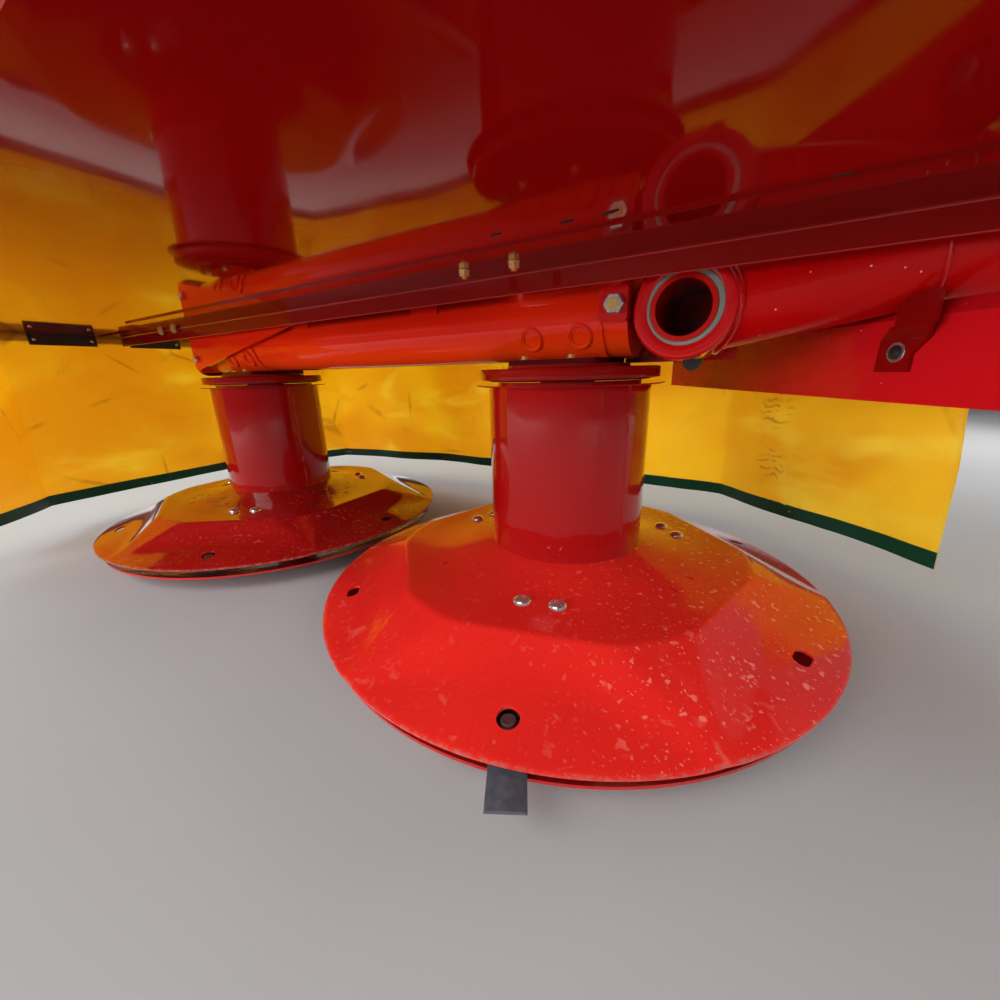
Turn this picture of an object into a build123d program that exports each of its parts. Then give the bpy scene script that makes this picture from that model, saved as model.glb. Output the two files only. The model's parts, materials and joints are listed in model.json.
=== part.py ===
from build123d import *
import os
from math import atan2, cos, degrees, hypot, pi

# Two-drum rotary mower for the rear of a tractor, millimetres.
# Origin on the ground under the inner drum, +X outwards to the right of the machine,
# +Y towards the tractor, +Z up.

# Cutting units
DRUM_PITCH = 890
DRUM_R = 131.5
DRUM_WALL = 4
DRUM_HEIGHT = 292
LIP_R = 153.5
LIP_SHEET = 2
DRUM_BOSS_R = 118
DRUM_BOSS_GAP = 1
DISC_R = 430
DISC_SHEET = 4
DISC_RISE = 54
DISC_RIDGE_R = DISC_R - 110
DISC_FLAT_R = DISC_R - 140
DISC_FOLD_R = DISC_R - 95
DISC_FOLD_RISE = 24
DISC_SIDES = 6
OUTER_DISC_ANGLE = 124.5
INNER_DISC_ANGLE = 104.5

# Free-running skid saucers
SAUCER_R = 420
SAUCER_DEPTH = 39
SAUCER_SHEET = 4
SAUCER_SOLE_R = SAUCER_R - 230
SAUCER_KNEE_R = SAUCER_R - 75
SAUCER_KNEE_Z = 17
BLADE_SLOT = 19
AXLE_R = 25
AXLE_HUB_R = 62
AXLE_BOSS_R = 52
RUNNING = 0.05

# Knives on sprung carriers
KNIFE_COUNT = 3
KNIFE_PITCH_R = DISC_R - 46
KNIFE_REACH = 84
KNIFE_WIDTH = 40
KNIFE_BEVEL = 5
KNIFE_EDGE = 1.5
KNIFE_SHEET = 4
KNIFE_PIN_R = 8.5
KNIFE_TAIL = 20
KNIFE_EYE_R = 9
ACCESS_R = 13
OVAL_LENGTH = 34
OVAL_WIDTH = 20
CARRIER_WIDTH = 44
CARRIER_SHEET = 5
CARRIER_ROOT_R = KNIFE_PITCH_R - 199
CARRIER_BEND_R = KNIFE_PITCH_R - 139
CARRIER_TOE_R = KNIFE_PITCH_R - 30
CARRIER_NOSE = 22
SAUCER_CLEAR = 3
KNIFE_PLAY = 1

# Gear beam with its stationary caps
CAP_GAP = 5
CAP_R = 145
CAP_RIM = 13
CAP_HEIGHT = 19
CAP_FLANGE = 17
CAP_EDGE = 2
SEAT_R = 100
SEAT_SHEET = 5
STUB_R = 45
STUB_DROP = 90
BEAM_R = 57
BEAM_INNER_X = -110
BEAM_OUTER_X = 1092
SADDLE_LENGTH = 150
SADDLE_SHEET = 3
SADDLE_RISE = 3
SADDLE_CORNER = 20
SADDLE_DROP = 6
SADDLE_FOOT = 8
SADDLE_WIDTH = 148
RING_R = 20
RING_BORE_R = 12
RING_PROUD = 2
RING_PITCH = 80
RING_ANGLE = -25
PAD_SHEET = 6
PAD_LENGTH = 60
PAD_WIDTH = 100
DECK_PAD_XS = [260, 630, DRUM_PITCH]
BASE_PLATE_SHEET = 12
BASE_PLATE_X = -240
BASE_PLATE_CORNER = 4
END_PLATE_SHEET = 8
END_PLATE_CORNER = 32
END_GUSSET_Y = 64
END_GUSSET_SHEET = 8
END_GUSSET_INNER_X = 607
END_GUSSET_TIP = 20
END_GUSSET_FOOT = 112
RUN_GAP = 5

# Pivot of the cutting unit on its carrier arm
HUB_X = -182
HUB_R = 63
HUB_FRONT = 67
HUB_REAR = -66
BUSH_R = 46
PIVOT_R = 40
PIVOT_BORE_R = 33.5
PIVOT_PROUD = 1
KEEPER_FRONT = 74
KEEPER_REAR = 20
KEEPER_LOW = 10
KEEPER_HIGH = 34

# Carrier arm
ARM_R = 57
ARM_WALL = 6
ARM_Y = 2
ARM_RISE = 42
MITRE_X = -418
KNUCKLE_R = 62
KNUCKLE_HEIGHT = 160

# Deck, rail and curtains
DECK_SHEET = 3
DECK_FLANGE = 25
DECK_CORNER = 45
NOTCH_WIDTH = 150
NOTCH_END_X = -140
TOWER_HOLE = 170
RAIL_Y = 99
RAIL_DEPTH = 127
RAIL_HEIGHT = 28
RAIL_SHEET = 3
RAIL_INNER_X = -590
RAIL_OUTER_X = 1475
RAIL_STEP_X = 1045
RAIL_STEP_DEPTH = 54
RAIL_HOLE_R = 5
RAIL_HOLE_INSET = 30
RAIL_HOLE_XS = [1120, 1240, 1380]
CURTAIN_SHEET = 3
SKIRT_PLAY = 0.3
HEM_Z = 86
STRIP_HEIGHT = 30
STRIP_LENGTH = 150
STRIP_PITCH = 235
STRIP_DROP = 1
STRIP_SHEET = 4
FRONT_CURTAIN_REACH = 470
FRONT_CURTAIN_INSET = 20
FRONT_CURTAIN_OUTSET = 60

# Input tower, belt guard and drive stub
TOWER_X = 0
TOWER_SIZE = 124
TOWER_TAPER = 12
TOWER_FLANGE = 10
TOWER_FLANGE_HEIGHT = 12
TOWER_HEAD = 57
TOWER_CORNER = 16
NECK_R = 45
NECK_Z = 790
NECK_REACH = 118
NECK_SWING = 48
GUARD_REAR_Y = 100
GUARD_DEPTH = 96
GUARD_SHEET = 3
GUARD_RIM = 12
GUARD_BEAD = 5
GUARD_BEAD_INSET = 34
GUARD_BEAD_WIDTH = 16
SMALL_LOBE_R = 145
BIG_LOBE_R = 165
BIG_LOBE_Z = 835
STAY_XS = [-330, -820]
STAY_WIDTH = 50
STAY_SHEET = 8
STAY_INSET = 12
STAY_TOP_DROP = 60
INPUT_R = 48
INPUT_REAR_Y = -62
INPUT_FRONT = 60
PEDESTAL_FOOT = 110
PEDESTAL_SHEET = 10
PEDESTAL_REAR = 34
PEDESTAL_FRONT = 24
DRIVE_SHAFT_R = 17.5
DRIVE_JOURNAL_R = 22
DRIVE_SHAFT_REACH = 90
SHIELD_R = 92
SHIELD_SHEET = 4
SHIELD_DEPTH = 110

# Inner deflector plate under the arm
DEFLECTOR_Z = 387
DEFLECTOR_HEIGHT = 90
DEFLECTOR_SHEET = 4
DEFLECTOR_FOLDS = [45, 16]
DEFLECTOR_PLAN = [(-70, -534), (-395, 0), (-500, 160)]
BRACKET_WIDTH = 42
BRACKET_SHIFT = 26
BRACKET_SLANT = 15
BRACKET_LIFT = 34
BRACKET_FOOT = 34
BRACKET_FOOT_WIDTH = 40
BRACKET_JOG = 12
BRACKET_GRIP = 12
BRACKET_SHEET = 5

# Headstock for a category 2 three-point linkage
HITCH_X = -1430
BIG_LOBE_X = HITCH_X + 190
HITCH_Y = 720
LINK_Z = 480
LINK_SHOULDERS = 825
LINK_PIN_R = 14
LINK_PIN_LENGTH = 118
LINK_COLLAR_R = 24
LINK_COLLAR = 9
CROSS_SIZE = 80
MAST_HEIGHT = 610
MAST_BAR = 60
MAST_SHEET = 20
MAST_FOOT_INSET = 60
MAST_GAP = 52
EAR_SHEET = 15
EAR_R = 35
EAR_DROP = 110
EAR_TIE = 25
EAR_TIE_DEPTH = 40
TOP_PIN_R = 12.75
SPINE_SIZE = 90
BRACE_R = 22
BRACE_START = 70
BRACE_SINK = 10
FORK_SHEET = 16
FORK_WIDTH = 130
FORK_THROAT = 72
FORK_GAP = 6
SWING_PIN_R = 20
SWING_HEAD_R = 32
SWING_HEAD = 12
SWING_TAIL = 18
STAND_OFFSET = 240
STAND_X = HITCH_X - STAND_OFFSET
STAND_SLEEVE = 70
STAND_LEG = 58
STAND_PLAY = 0.3
STAND_WALL = 5
STAND_FOOT = 180
STAND_FOOT_SHEET = 8
STAND_SLEEVE_HEIGHT = 190
STAND_SLEEVE_RISE = 20
STAND_LEG_RISE = 60
STAND_PIN_R = 7
STAND_PIN_INSET = 30
STAND_HOLE_DROPS = [0, 100, 200]

# Heights that follow from the sizes above
SAUCER_TOP = SAUCER_DEPTH + SAUCER_SHEET
DISC_UNDER = SAUCER_TOP + BLADE_SLOT
DISC_RIM_Z = DISC_UNDER + DISC_SHEET
DISC_TOP = DISC_RIM_Z + DISC_RISE
DRUM_TOP = DISC_TOP + DRUM_HEIGHT
CAP_Z = DRUM_TOP + CAP_GAP
CAP_TOP = CAP_Z + CAP_HEIGHT
SADDLE_LOW = CAP_TOP + SEAT_SHEET
BEAM_UNDER = SADDLE_LOW + SADDLE_DROP
BEAM_Z = BEAM_UNDER + BEAM_R
BEAM_TOP = BEAM_Z + BEAM_R
DECK_Z = BEAM_TOP + PAD_SHEET
DECK_TOP = DECK_Z + DECK_SHEET
ARM_Z = BEAM_Z + ARM_RISE
DRUM_XS = {"inner": 0, "outer": DRUM_PITCH}
DISC_ANGLES = {"inner": INNER_DISC_ANGLE, "outer": OUTER_DISC_ANGLE}

# Plan of the skirt at the deck's edge, from the inner rear end round to the inner front corner
SKIRT = [
    (-575, -269),
    (-253, -600),
    (-60, -632),
    (829, -645),
    (1300, -552),
    (1522, -135),
    (1464, 375),
    (1264, 560),
]
FRONT_EDGE_Y = 600
INNER_EDGE_X = -600

# Knives: disc, station on the disc, turn from straight out, degrees
KNIVES = [
    ("inner", 0, 14),
    ("inner", 1, 103),
    ("inner", 2, -103),
    ("outer", 0, -97),
    ("outer", 1, 103),
    ("outer", 2, -103),
]


def tube(outer_r, inner_r, low, high, x=0, y=0):
    """Upright tube between two heights."""
    body = Cylinder(outer_r, high - low) - Cylinder(inner_r, high - low)
    return Pos(x, y, (low + high) / 2) * body


def rod(radius, low, high, x=0, y=0):
    """Upright round bar between two heights."""
    return Pos(x, y, (low + high) / 2) * Cylinder(radius, high - low)


def bar_y(radius, y_low, y_high, x, z):
    """Round bar along Y."""
    middle = (y_low + y_high) / 2
    return Pos(x, middle, z) * Rot(90, 0, 0) * Cylinder(radius, y_high - y_low)


def bar_x(radius, x_low, x_high, y, z):
    """Round bar along X."""
    middle = (x_low + x_high) / 2
    return Pos(middle, y, z) * Rot(0, 90, 0) * Cylinder(radius, x_high - x_low)


def block(x, y, z):
    """Box from three (low, high) pairs."""
    size = Box(x[1] - x[0], y[1] - y[0], z[1] - z[0])
    return Pos((x[0] + x[1]) / 2, (y[0] + y[1]) / 2, (z[0] + z[1]) / 2) * size


def slab(outline, low, high):
    """Flat plate with a plan outline, between two heights."""
    return Pos(0, 0, low) * extrude(make_face(Polyline(*outline, close=True)), high - low)


def upright(outline, y_low, y_high):
    """Plate with an outline in X and Z, between two places along Y."""
    face = Plane.XZ * make_face(Polyline(*outline, close=True))
    return Pos(0, y_high, 0) * extrude(face, y_high - y_low)


def offset_path(points, distance):
    """Plan path moved sideways, to the right of its direction, with mitred corners."""
    moved = []
    for index, point in enumerate(points):
        before = points[max(index - 1, 0)]
        after = points[min(index + 1, len(points) - 1)]
        sides = []
        for start, end in ((before, point), (point, after)):
            run = hypot(end[0] - start[0], end[1] - start[1])
            if run > 0:
                sides.append(((end[1] - start[1]) / run, (start[0] - end[0]) / run))
        normal = (sum(s[0] for s in sides), sum(s[1] for s in sides))
        length = hypot(*normal)
        unit = (normal[0] / length, normal[1] / length)
        mitre = distance / (unit[0] * sides[0][0] + unit[1] * sides[0][1])
        moved.append((point[0] + unit[0] * mitre, point[1] + unit[1] * mitre))
    return moved


def heading(start, end):
    """Length of a run in plan and its direction in degrees."""
    across = end[0] - start[0]
    ahead = end[1] - start[1]
    return hypot(across, ahead), degrees(atan2(ahead, across))


def wall(points, near, far, low, high):
    """Upright sheet that follows a plan path, between two sideways offsets."""
    outline = offset_path(points, near) + offset_path(points, far)[::-1]
    return slab(outline, low, high)


# Cutting disc: a six-sided dome with ridges that run out at the rim

def disc_form(drop):
    """Solid under the disc's surface, lowered by drop."""
    rim = DISC_RIM_Z - drop
    top = DISC_TOP - drop
    fold = rim + DISC_FOLD_RISE
    floor = DISC_UNDER - DISC_SHEET
    rim_flat_r = DISC_R * cos(pi / DISC_SIDES)
    side = [(0, floor), (DISC_R, floor), (DISC_R, rim)]
    lower = Plane.XZ * make_face(Polyline(*side, (DISC_FOLD_R, fold), (0, fold), close=True))
    cone = Plane.XZ * make_face(Polyline(*side, (DISC_RIDGE_R, top), (0, top), close=True))
    base = Pos(0, 0, rim) * RegularPolygon(rim_flat_r, DISC_SIDES, major_radius=False)
    crown = Pos(0, 0, top) * RegularPolygon(DISC_FLAT_R, DISC_SIDES, major_radius=False)
    dome = loft(Sketch() + [base, crown]) & revolve(cone, Axis.Z)
    return revolve(lower, Axis.Z) + dome


def around(count, start):
    return [start + index * 360 / count for index in range(count)]


def cutting_disc(x, angle):
    """Pressed disc with its hub, access holes and the axle for the saucer."""
    facet_turn = 180 / DISC_SIDES
    form = Rot(0, 0, facet_turn) * disc_form(0)
    disc = form - Rot(0, 0, facet_turn) * disc_form(DISC_SHEET)
    depth = DISC_TOP
    for turn in around(KNIFE_COUNT, 0):
        disc -= Rot(0, 0, turn) * Pos(KNIFE_PITCH_R, 0, 0) * Cylinder(ACCESS_R, 2 * depth)
    for turn in around(KNIFE_COUNT, 180 / KNIFE_COUNT):
        oval = extrude(SlotOverall(OVAL_LENGTH, OVAL_WIDTH), depth)
        disc -= Rot(0, 0, turn) * Pos(KNIFE_PITCH_R, 0, 0) * Rot(0, 0, 90) * oval
    disc += rod(AXLE_HUB_R, DISC_UNDER, DISC_TOP - DISC_SHEET / 2)
    disc += rod(AXLE_R, 2 * SAUCER_SHEET, DISC_UNDER + DISC_SHEET)
    return Pos(x, 0, 0) * Rot(0, 0, angle) * disc


def drum(x):
    """Drum tube with its lip, the hub that turns on the stub and a boss in the gap to the cap."""
    shell = tube(DRUM_R, DRUM_R - DRUM_WALL, DISC_TOP, DRUM_TOP - LIP_SHEET, x)
    lip = tube(LIP_R, STUB_R + RUNNING, DRUM_TOP - LIP_SHEET, DRUM_TOP, x)
    bore = STUB_R + RUNNING
    hub = tube(STUB_R + 2 * DRUM_WALL, bore, CAP_TOP - STUB_DROP, DRUM_TOP - LIP_SHEET / 2, x)
    boss = tube(DRUM_BOSS_R, bore, DRUM_TOP - LIP_SHEET / 2, CAP_Z - DRUM_BOSS_GAP, x)
    return shell + lip + hub + boss


def saucer(x):
    """Skid saucer with its boss round the axle."""
    low = [(0, 0), (SAUCER_SOLE_R, 0), (SAUCER_KNEE_R, SAUCER_KNEE_Z), (SAUCER_R, SAUCER_DEPTH)]
    high = [(px, pz + SAUCER_SHEET) for px, pz in low[::-1]]
    dish = revolve(Plane.XZ * make_face(Polyline(*low, *high, close=True)), Axis.Z)
    boss_top = DISC_UNDER - CAP_GAP
    dish += tube(AXLE_BOSS_R, AXLE_R + RUNNING, SAUCER_SHEET / 2, boss_top)
    return Pos(x, 0, 0) * dish


def knife_carriers(x, angle):
    """Three sprung leaves under the disc, each with the pin that holds a knife."""
    low = SAUCER_TOP + SAUCER_CLEAR
    high = DISC_TOP - DISC_SHEET
    nose = KNIFE_PITCH_R + CARRIER_NOSE
    root = high - CARRIER_SHEET
    under = [(CARRIER_ROOT_R, root), (CARRIER_BEND_R, root), (CARRIER_TOE_R, low), (nose, low)]
    over = [(px, pz + CARRIER_SHEET) for px, pz in under[::-1]]
    leaf = upright([*under, *over], -CARRIER_WIDTH / 2, CARRIER_WIDTH / 2)
    carrier = leaf + rod(KNIFE_PIN_R, low + CARRIER_SHEET / 2, DISC_RIM_Z, KNIFE_PITCH_R)
    leaves = [Pos(x, 0, 0) * Rot(0, 0, angle + turn) * carrier for turn in around(KNIFE_COUNT, 0)]
    return Compound(children=leaves)


def knife(x, angle, swing):
    """Flat knife with rounded tail and bevelled edges, turned about its pin."""
    low = SAUCER_TOP + SAUCER_CLEAR + CARRIER_SHEET + KNIFE_PLAY
    plan = Circle(KNIFE_TAIL) + Pos(KNIFE_REACH / 2, 0) * Rectangle(KNIFE_REACH, KNIFE_WIDTH)
    plan -= Circle(KNIFE_EYE_R)
    blade = extrude(plan, KNIFE_SHEET)
    half = KNIFE_WIDTH / 2
    for side in (-1, 1):
        bevel = [
            (side * (half - KNIFE_BEVEL), KNIFE_SHEET),
            (side * half, KNIFE_EDGE),
            (side * (half + 1), KNIFE_EDGE),
            (side * (half + 1), KNIFE_SHEET),
        ]
        wedge = Plane.YZ * make_face(Polyline(*bevel, close=True))
        blade -= Pos(KNIFE_TAIL, 0, 0) * extrude(wedge, KNIFE_REACH)
    return Pos(x, 0, low) * Rot(0, 0, angle) * Pos(KNIFE_PITCH_R, 0, 0) * Rot(0, 0, swing) * blade


def drum_cap(x):
    """Stationary cap over a drum, with the stub that carries the drum and its bolting seat."""
    flange = rod(CAP_R, CAP_TOP - CAP_FLANGE, CAP_TOP, x)
    cap = fillet(flange.edges().filter_by(GeomType.CIRCLE), CAP_EDGE)
    cap += rod(CAP_R - CAP_RIM, CAP_Z, CAP_TOP - CAP_FLANGE, x)
    cap += rod(SEAT_R, CAP_TOP, SADDLE_LOW, x)
    cap += rod(STUB_R, CAP_TOP - STUB_DROP, CAP_TOP, x)
    return cap


def saddle(x):
    """Bearing casting that hugs the beam over a drum, with its foot and two bolt rings."""
    reach = BEAM_R + SADDLE_SHEET
    half = SADDLE_LENGTH / 2
    top = BEAM_Z + SADDLE_RISE
    height = top - SADDLE_LOW + SADDLE_CORNER
    side = Plane.XZ * (Pos(x, top - height / 2) * RectangleRounded(SADDLE_LENGTH, height, SADDLE_CORNER))
    wrap = bar_x(reach, x - half, x + half, 0, BEAM_Z)
    wrap &= Pos(0, 2 * reach, 0) * extrude(side, 4 * reach)
    for offset in (-RING_PITCH / 2, RING_PITCH / 2):
        ring = Cylinder(RING_R, 2 * reach) - Cylinder(RING_BORE_R, 2 * reach)
        ring = Pos(x + offset, 0, BEAM_Z) * Rot(RING_ANGLE - 90, 0, 0) * Pos(0, 0, reach) * ring
        wrap += ring & bar_x(reach + RING_PROUD, x - half, x + half, 0, BEAM_Z)
    depth = SADDLE_WIDTH / 2
    foot = block((x - half, x + half), (-depth, depth), (SADDLE_LOW, SADDLE_LOW + SADDLE_FOOT))
    wrap += fillet(foot.edges().filter_by(Axis.Z), SADDLE_CORNER / 2)
    return wrap - block((x - half - 1, x + half + 1), (-depth, depth), (SADDLE_LOW - reach, SADDLE_LOW))


def gear_beam():
    """Round beam over both drums with its bearing saddles and the pads under the deck."""
    beam = bar_x(BEAM_R, BEAM_INNER_X, BEAM_OUTER_X, 0, BEAM_Z)
    for x in DRUM_XS.values():
        beam += saddle(x)
    for x in DECK_PAD_XS:
        along = (x - PAD_LENGTH / 2, x + PAD_LENGTH / 2)
        beam += block(along, (-PAD_WIDTH / 2, PAD_WIDTH / 2), (BEAM_Z, DECK_Z))
    return beam


def base_plate():
    """Plate behind the pivot that carries the fixed pivot tube, with the ribs that join it to the beam."""
    rear = HUB_REAR - RUN_GAP - BASE_PLATE_SHEET
    inner_x = -SADDLE_LENGTH / 2
    plate = block((BASE_PLATE_X, inner_x), (rear, rear + BASE_PLATE_SHEET), (SADDLE_LOW, BEAM_TOP))
    plate = fillet(plate.edges().filter_by(Axis.Y).group_by(Axis.X)[0], BASE_PLATE_CORNER)
    reach = HUB_FRONT + PIVOT_PROUD
    pivot = bar_y(PIVOT_R, rear + BASE_PLATE_SHEET / 2, reach, HUB_X, BEAM_Z)
    pivot -= bar_y(PIVOT_BORE_R, rear + BASE_PLATE_SHEET, reach + 1, HUB_X, BEAM_Z)
    web = block((HUB_X + HUB_R + RUN_GAP, inner_x), (rear, 0), (BEAM_UNDER, BEAM_TOP))
    web -= bar_x(BEAM_R, BEAM_INNER_X - 50, inner_x + 1, 0, BEAM_Z)
    return plate + pivot + web


def hub_keeper():
    """Clamp block in front of the beam's end, beside the hub."""
    left = HUB_X + HUB_R + RUN_GAP
    z = (BEAM_Z - KEEPER_LOW, BEAM_Z + KEEPER_HIGH)
    keeper = block((left, -SADDLE_LENGTH / 2), (KEEPER_REAR, KEEPER_FRONT), z)
    keeper = fillet(keeper.edges().filter_by(Axis.Y), 5)
    return keeper - bar_x(BEAM_R, left - 1, 0, 0, BEAM_Z)


def end_plate():
    """Upright plate on the beam's outer end with a tapering gusset in front of the beam."""
    depth = END_GUSSET_Y + END_GUSSET_SHEET
    x = (BEAM_OUTER_X, BEAM_OUTER_X + END_PLATE_SHEET)
    plate = block(x, (-depth, depth), (SADDLE_LOW, DECK_Z))
    plate = fillet(plate.edges().filter_by(Axis.X).group_by(Axis.Z)[0], END_PLATE_CORNER)
    outline = [
        (END_GUSSET_INNER_X, DECK_Z),
        (END_GUSSET_INNER_X, DECK_Z - END_GUSSET_TIP),
        (BEAM_OUTER_X, DECK_Z - END_GUSSET_FOOT),
        (BEAM_OUTER_X, DECK_Z),
    ]
    return plate + upright(outline, END_GUSSET_Y, depth)


# Arm side of the pivot and the carrier arm

def arm_hub():
    """Hub that turns on the pivot tube."""
    hub = bar_y(HUB_R, HUB_REAR, HUB_FRONT, HUB_X, BEAM_Z)
    return hub - bar_y(BUSH_R, HUB_REAR - 1, HUB_FRONT + 1, HUB_X, BEAM_Z)


def pivot_bush():
    bush = bar_y(BUSH_R, HUB_REAR, HUB_FRONT, HUB_X, BEAM_Z)
    return bush - bar_y(PIVOT_R + RUNNING, HUB_REAR - 1, HUB_FRONT + 1, HUB_X, BEAM_Z)


def arm_solid(radius):
    """Round bar from the swing pin level to the mitre and down to the hub."""
    route = [
        (HITCH_X, ARM_Y, ARM_Z),
        (MITRE_X, ARM_Y, ARM_Z),
        (HUB_X, ARM_Y, BEAM_Z),
    ]
    start = Plane(origin=route[0], z_dir=(1, 0, 0))
    return sweep(start * Circle(radius), Polyline(*route), transition=Transition.RIGHT)


def carrier_arm():
    """Tube that rises from the hub to a mitre and then runs level to the swing pin."""
    arm = arm_solid(ARM_R) - arm_solid(ARM_R - ARM_WALL)
    arm -= bar_y(HUB_R, HUB_REAR - 1, HUB_FRONT + 1, HUB_X, BEAM_Z)
    half = KNUCKLE_HEIGHT / 2
    arm += rod(KNUCKLE_R, ARM_Z - half, ARM_Z + half, HITCH_X, ARM_Y)
    arm -= rod(SWING_PIN_R + RUNNING, ARM_Z - half - 1, ARM_Z + half + 1, HITCH_X, ARM_Y)
    return arm


def deflector_plate():
    """Upright plate that keeps the crop off the arm, its top edge folded back along both runs."""
    high = DEFLECTOR_Z + DEFLECTOR_HEIGHT
    plate = wall(DEFLECTOR_PLAN, -DEFLECTOR_SHEET, 0, DEFLECTOR_Z, high)
    for start, end, depth in zip(DEFLECTOR_PLAN[:-1], DEFLECTOR_PLAN[1:], DEFLECTOR_FOLDS):
        length, turn = heading(start, end)
        profile = [
            (0, high - DEFLECTOR_SHEET),
            (0, high),
            (depth, high + depth),
            (depth, high + depth - 2 * DEFLECTOR_SHEET),
            (DEFLECTOR_SHEET, high - DEFLECTOR_SHEET),
        ]
        fold = extrude(Plane.YZ * make_face(Polyline(*profile, close=True)), length)
        plate += Pos(*start, 0) * Rot(0, 0, turn) * fold
    return plate - arm_solid(ARM_R)


def deflector_bracket():
    """Joggled strap from the arm down to the front face of the deflector, with a step to the side."""
    knee, end = DEFLECTOR_PLAN[1:]
    turn = heading(knee, end)[1]
    low = DEFLECTOR_Z + BRACKET_LIFT
    bend = low + BRACKET_FOOT
    high = ARM_Z - ARM_R + BRACKET_GRIP
    far = BRACKET_SHIFT + BRACKET_WIDTH
    back = [(0, low), (0, bend), (-BRACKET_JOG, bend + BRACKET_JOG), (-BRACKET_JOG, high)]
    front = [(y - BRACKET_SHEET, z) for y, z in back[::-1]]
    strap = extrude(Plane.YZ * make_face(Polyline(*back, *front, close=True)), far)
    outline = [
        (0, low),
        (BRACKET_FOOT_WIDTH, low),
        (BRACKET_FOOT_WIDTH, bend - BRACKET_SLANT),
        (far, bend + BRACKET_SLANT),
        (far, high),
        (BRACKET_SHIFT, high),
        (BRACKET_SHIFT, bend + BRACKET_SLANT),
        (0, bend),
    ]
    strap &= upright(outline, -2 * BRACKET_JOG, 1)
    return Pos(*knee, 0) * Rot(0, 0, turn) * strap - arm_solid(ARM_R)


# Belt drive

def guard_outline(grow):
    """Outline round the two pulleys: two arcs and their common tangents."""
    big = Pos(BIG_LOBE_X, BIG_LOBE_Z) * Circle(BIG_LOBE_R + grow)
    small = Pos(TOWER_X, NECK_Z) * Circle(SMALL_LOBE_R + grow)
    return make_hull(big.edges() + small.edges())


def guard_slab(grow, front, depth):
    """Slab with the guard's outline, from its front face backwards."""
    return Pos(0, front, 0) * extrude(Plane.XZ * guard_outline(grow), depth)


def belt_guard():
    """Cover over the belt run with a rim and a pressed bead, open at the back."""
    front = GUARD_REAR_Y + GUARD_DEPTH
    cover = guard_slab(0, front, GUARD_DEPTH) + guard_slab(GUARD_RIM, GUARD_REAR_Y + GUARD_SHEET, GUARD_SHEET)
    bead = guard_slab(-GUARD_BEAD_INSET, front + GUARD_BEAD, GUARD_BEAD)
    bead -= guard_slab(-GUARD_BEAD_INSET - GUARD_BEAD_WIDTH, front + GUARD_BEAD, GUARD_BEAD)
    cover += bead
    cover -= guard_slab(-GUARD_SHEET, front - GUARD_SHEET, GUARD_DEPTH)
    return cover - bar_y(INPUT_R + 1, GUARD_REAR_Y, front + 2 * GUARD_BEAD, BIG_LOBE_X, BIG_LOBE_Z)


def guard_back():
    """Back plate of the belt guard, with room for the tower's neck to swing."""
    plate = guard_slab(GUARD_RIM, GUARD_REAR_Y, 2 * GUARD_SHEET)
    deep = GUARD_REAR_Y - 3 * GUARD_SHEET
    plate -= bar_y(NECK_R + NECK_SWING + RUN_GAP, deep, GUARD_REAR_Y + 1, TOWER_X, NECK_Z)
    return plate - bar_y(INPUT_R, deep, GUARD_REAR_Y + 1, BIG_LOBE_X, BIG_LOBE_Z)


def input_bearing():
    """Bearing tube of the drive shaft on its pedestal over the arm."""
    front = GUARD_REAR_Y + GUARD_DEPTH + INPUT_FRONT
    x = BIG_LOBE_X
    housing = bar_y(INPUT_R, INPUT_REAR_Y, front, x, BIG_LOBE_Z)
    foot = [
        (x - PEDESTAL_FOOT, ARM_Z),
        (x + PEDESTAL_FOOT, ARM_Z),
        (x + INPUT_R, BIG_LOBE_Z),
        (x - INPUT_R, BIG_LOBE_Z),
    ]
    for y in (ARM_Y - PEDESTAL_REAR, ARM_Y + PEDESTAL_FRONT):
        housing += upright(foot, y, y + PEDESTAL_SHEET)
    reach = 2 * PEDESTAL_FOOT
    housing -= bar_x(ARM_R, x - reach, x + reach, ARM_Y, ARM_Z)
    return housing - bar_y(DRIVE_JOURNAL_R + RUNNING, INPUT_REAR_Y - 1, front + 1, x, BIG_LOBE_Z)


def drive_shaft():
    """Input shaft: the journal in its bearing and the stub for the drive shaft's yoke."""
    front = GUARD_REAR_Y + GUARD_DEPTH + INPUT_FRONT
    journal = bar_y(DRIVE_JOURNAL_R, INPUT_REAR_Y, front, BIG_LOBE_X, BIG_LOBE_Z)
    return journal + bar_y(DRIVE_SHAFT_R, front - 1, front + DRIVE_SHAFT_REACH, BIG_LOBE_X, BIG_LOBE_Z)


def drive_shield():
    """Cup-shaped guard round the drive shaft's end."""
    rear = GUARD_REAR_Y + GUARD_DEPTH
    inside = SHIELD_R - SHIELD_SHEET
    cup = bar_y(SHIELD_R, rear, rear + SHIELD_DEPTH, BIG_LOBE_X, BIG_LOBE_Z)
    cup -= bar_y(inside, rear + SHIELD_SHEET, rear + SHIELD_DEPTH + 1, BIG_LOBE_X, BIG_LOBE_Z)
    return cup - bar_y(INPUT_R, rear - 1, rear + 2 * SHIELD_SHEET, BIG_LOBE_X, BIG_LOBE_Z)


def guard_stays():
    """Two straps that carry the guard on the arm."""
    rear = ARM_Y + ARM_R - STAY_INSET
    top = BIG_LOBE_Z - STAY_TOP_DROP
    straps = []
    for x in STAY_XS:
        along = (x - STAY_WIDTH / 2, x + STAY_WIDTH / 2)
        rise = block(along, (rear, rear + STAY_SHEET), (ARM_Z, top))
        head = block(along, (rear, GUARD_REAR_Y - 2 * GUARD_SHEET), (top - STAY_SHEET, top))
        straps.append(rise + head - arm_solid(ARM_R))
    return Compound(children=straps)


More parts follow.
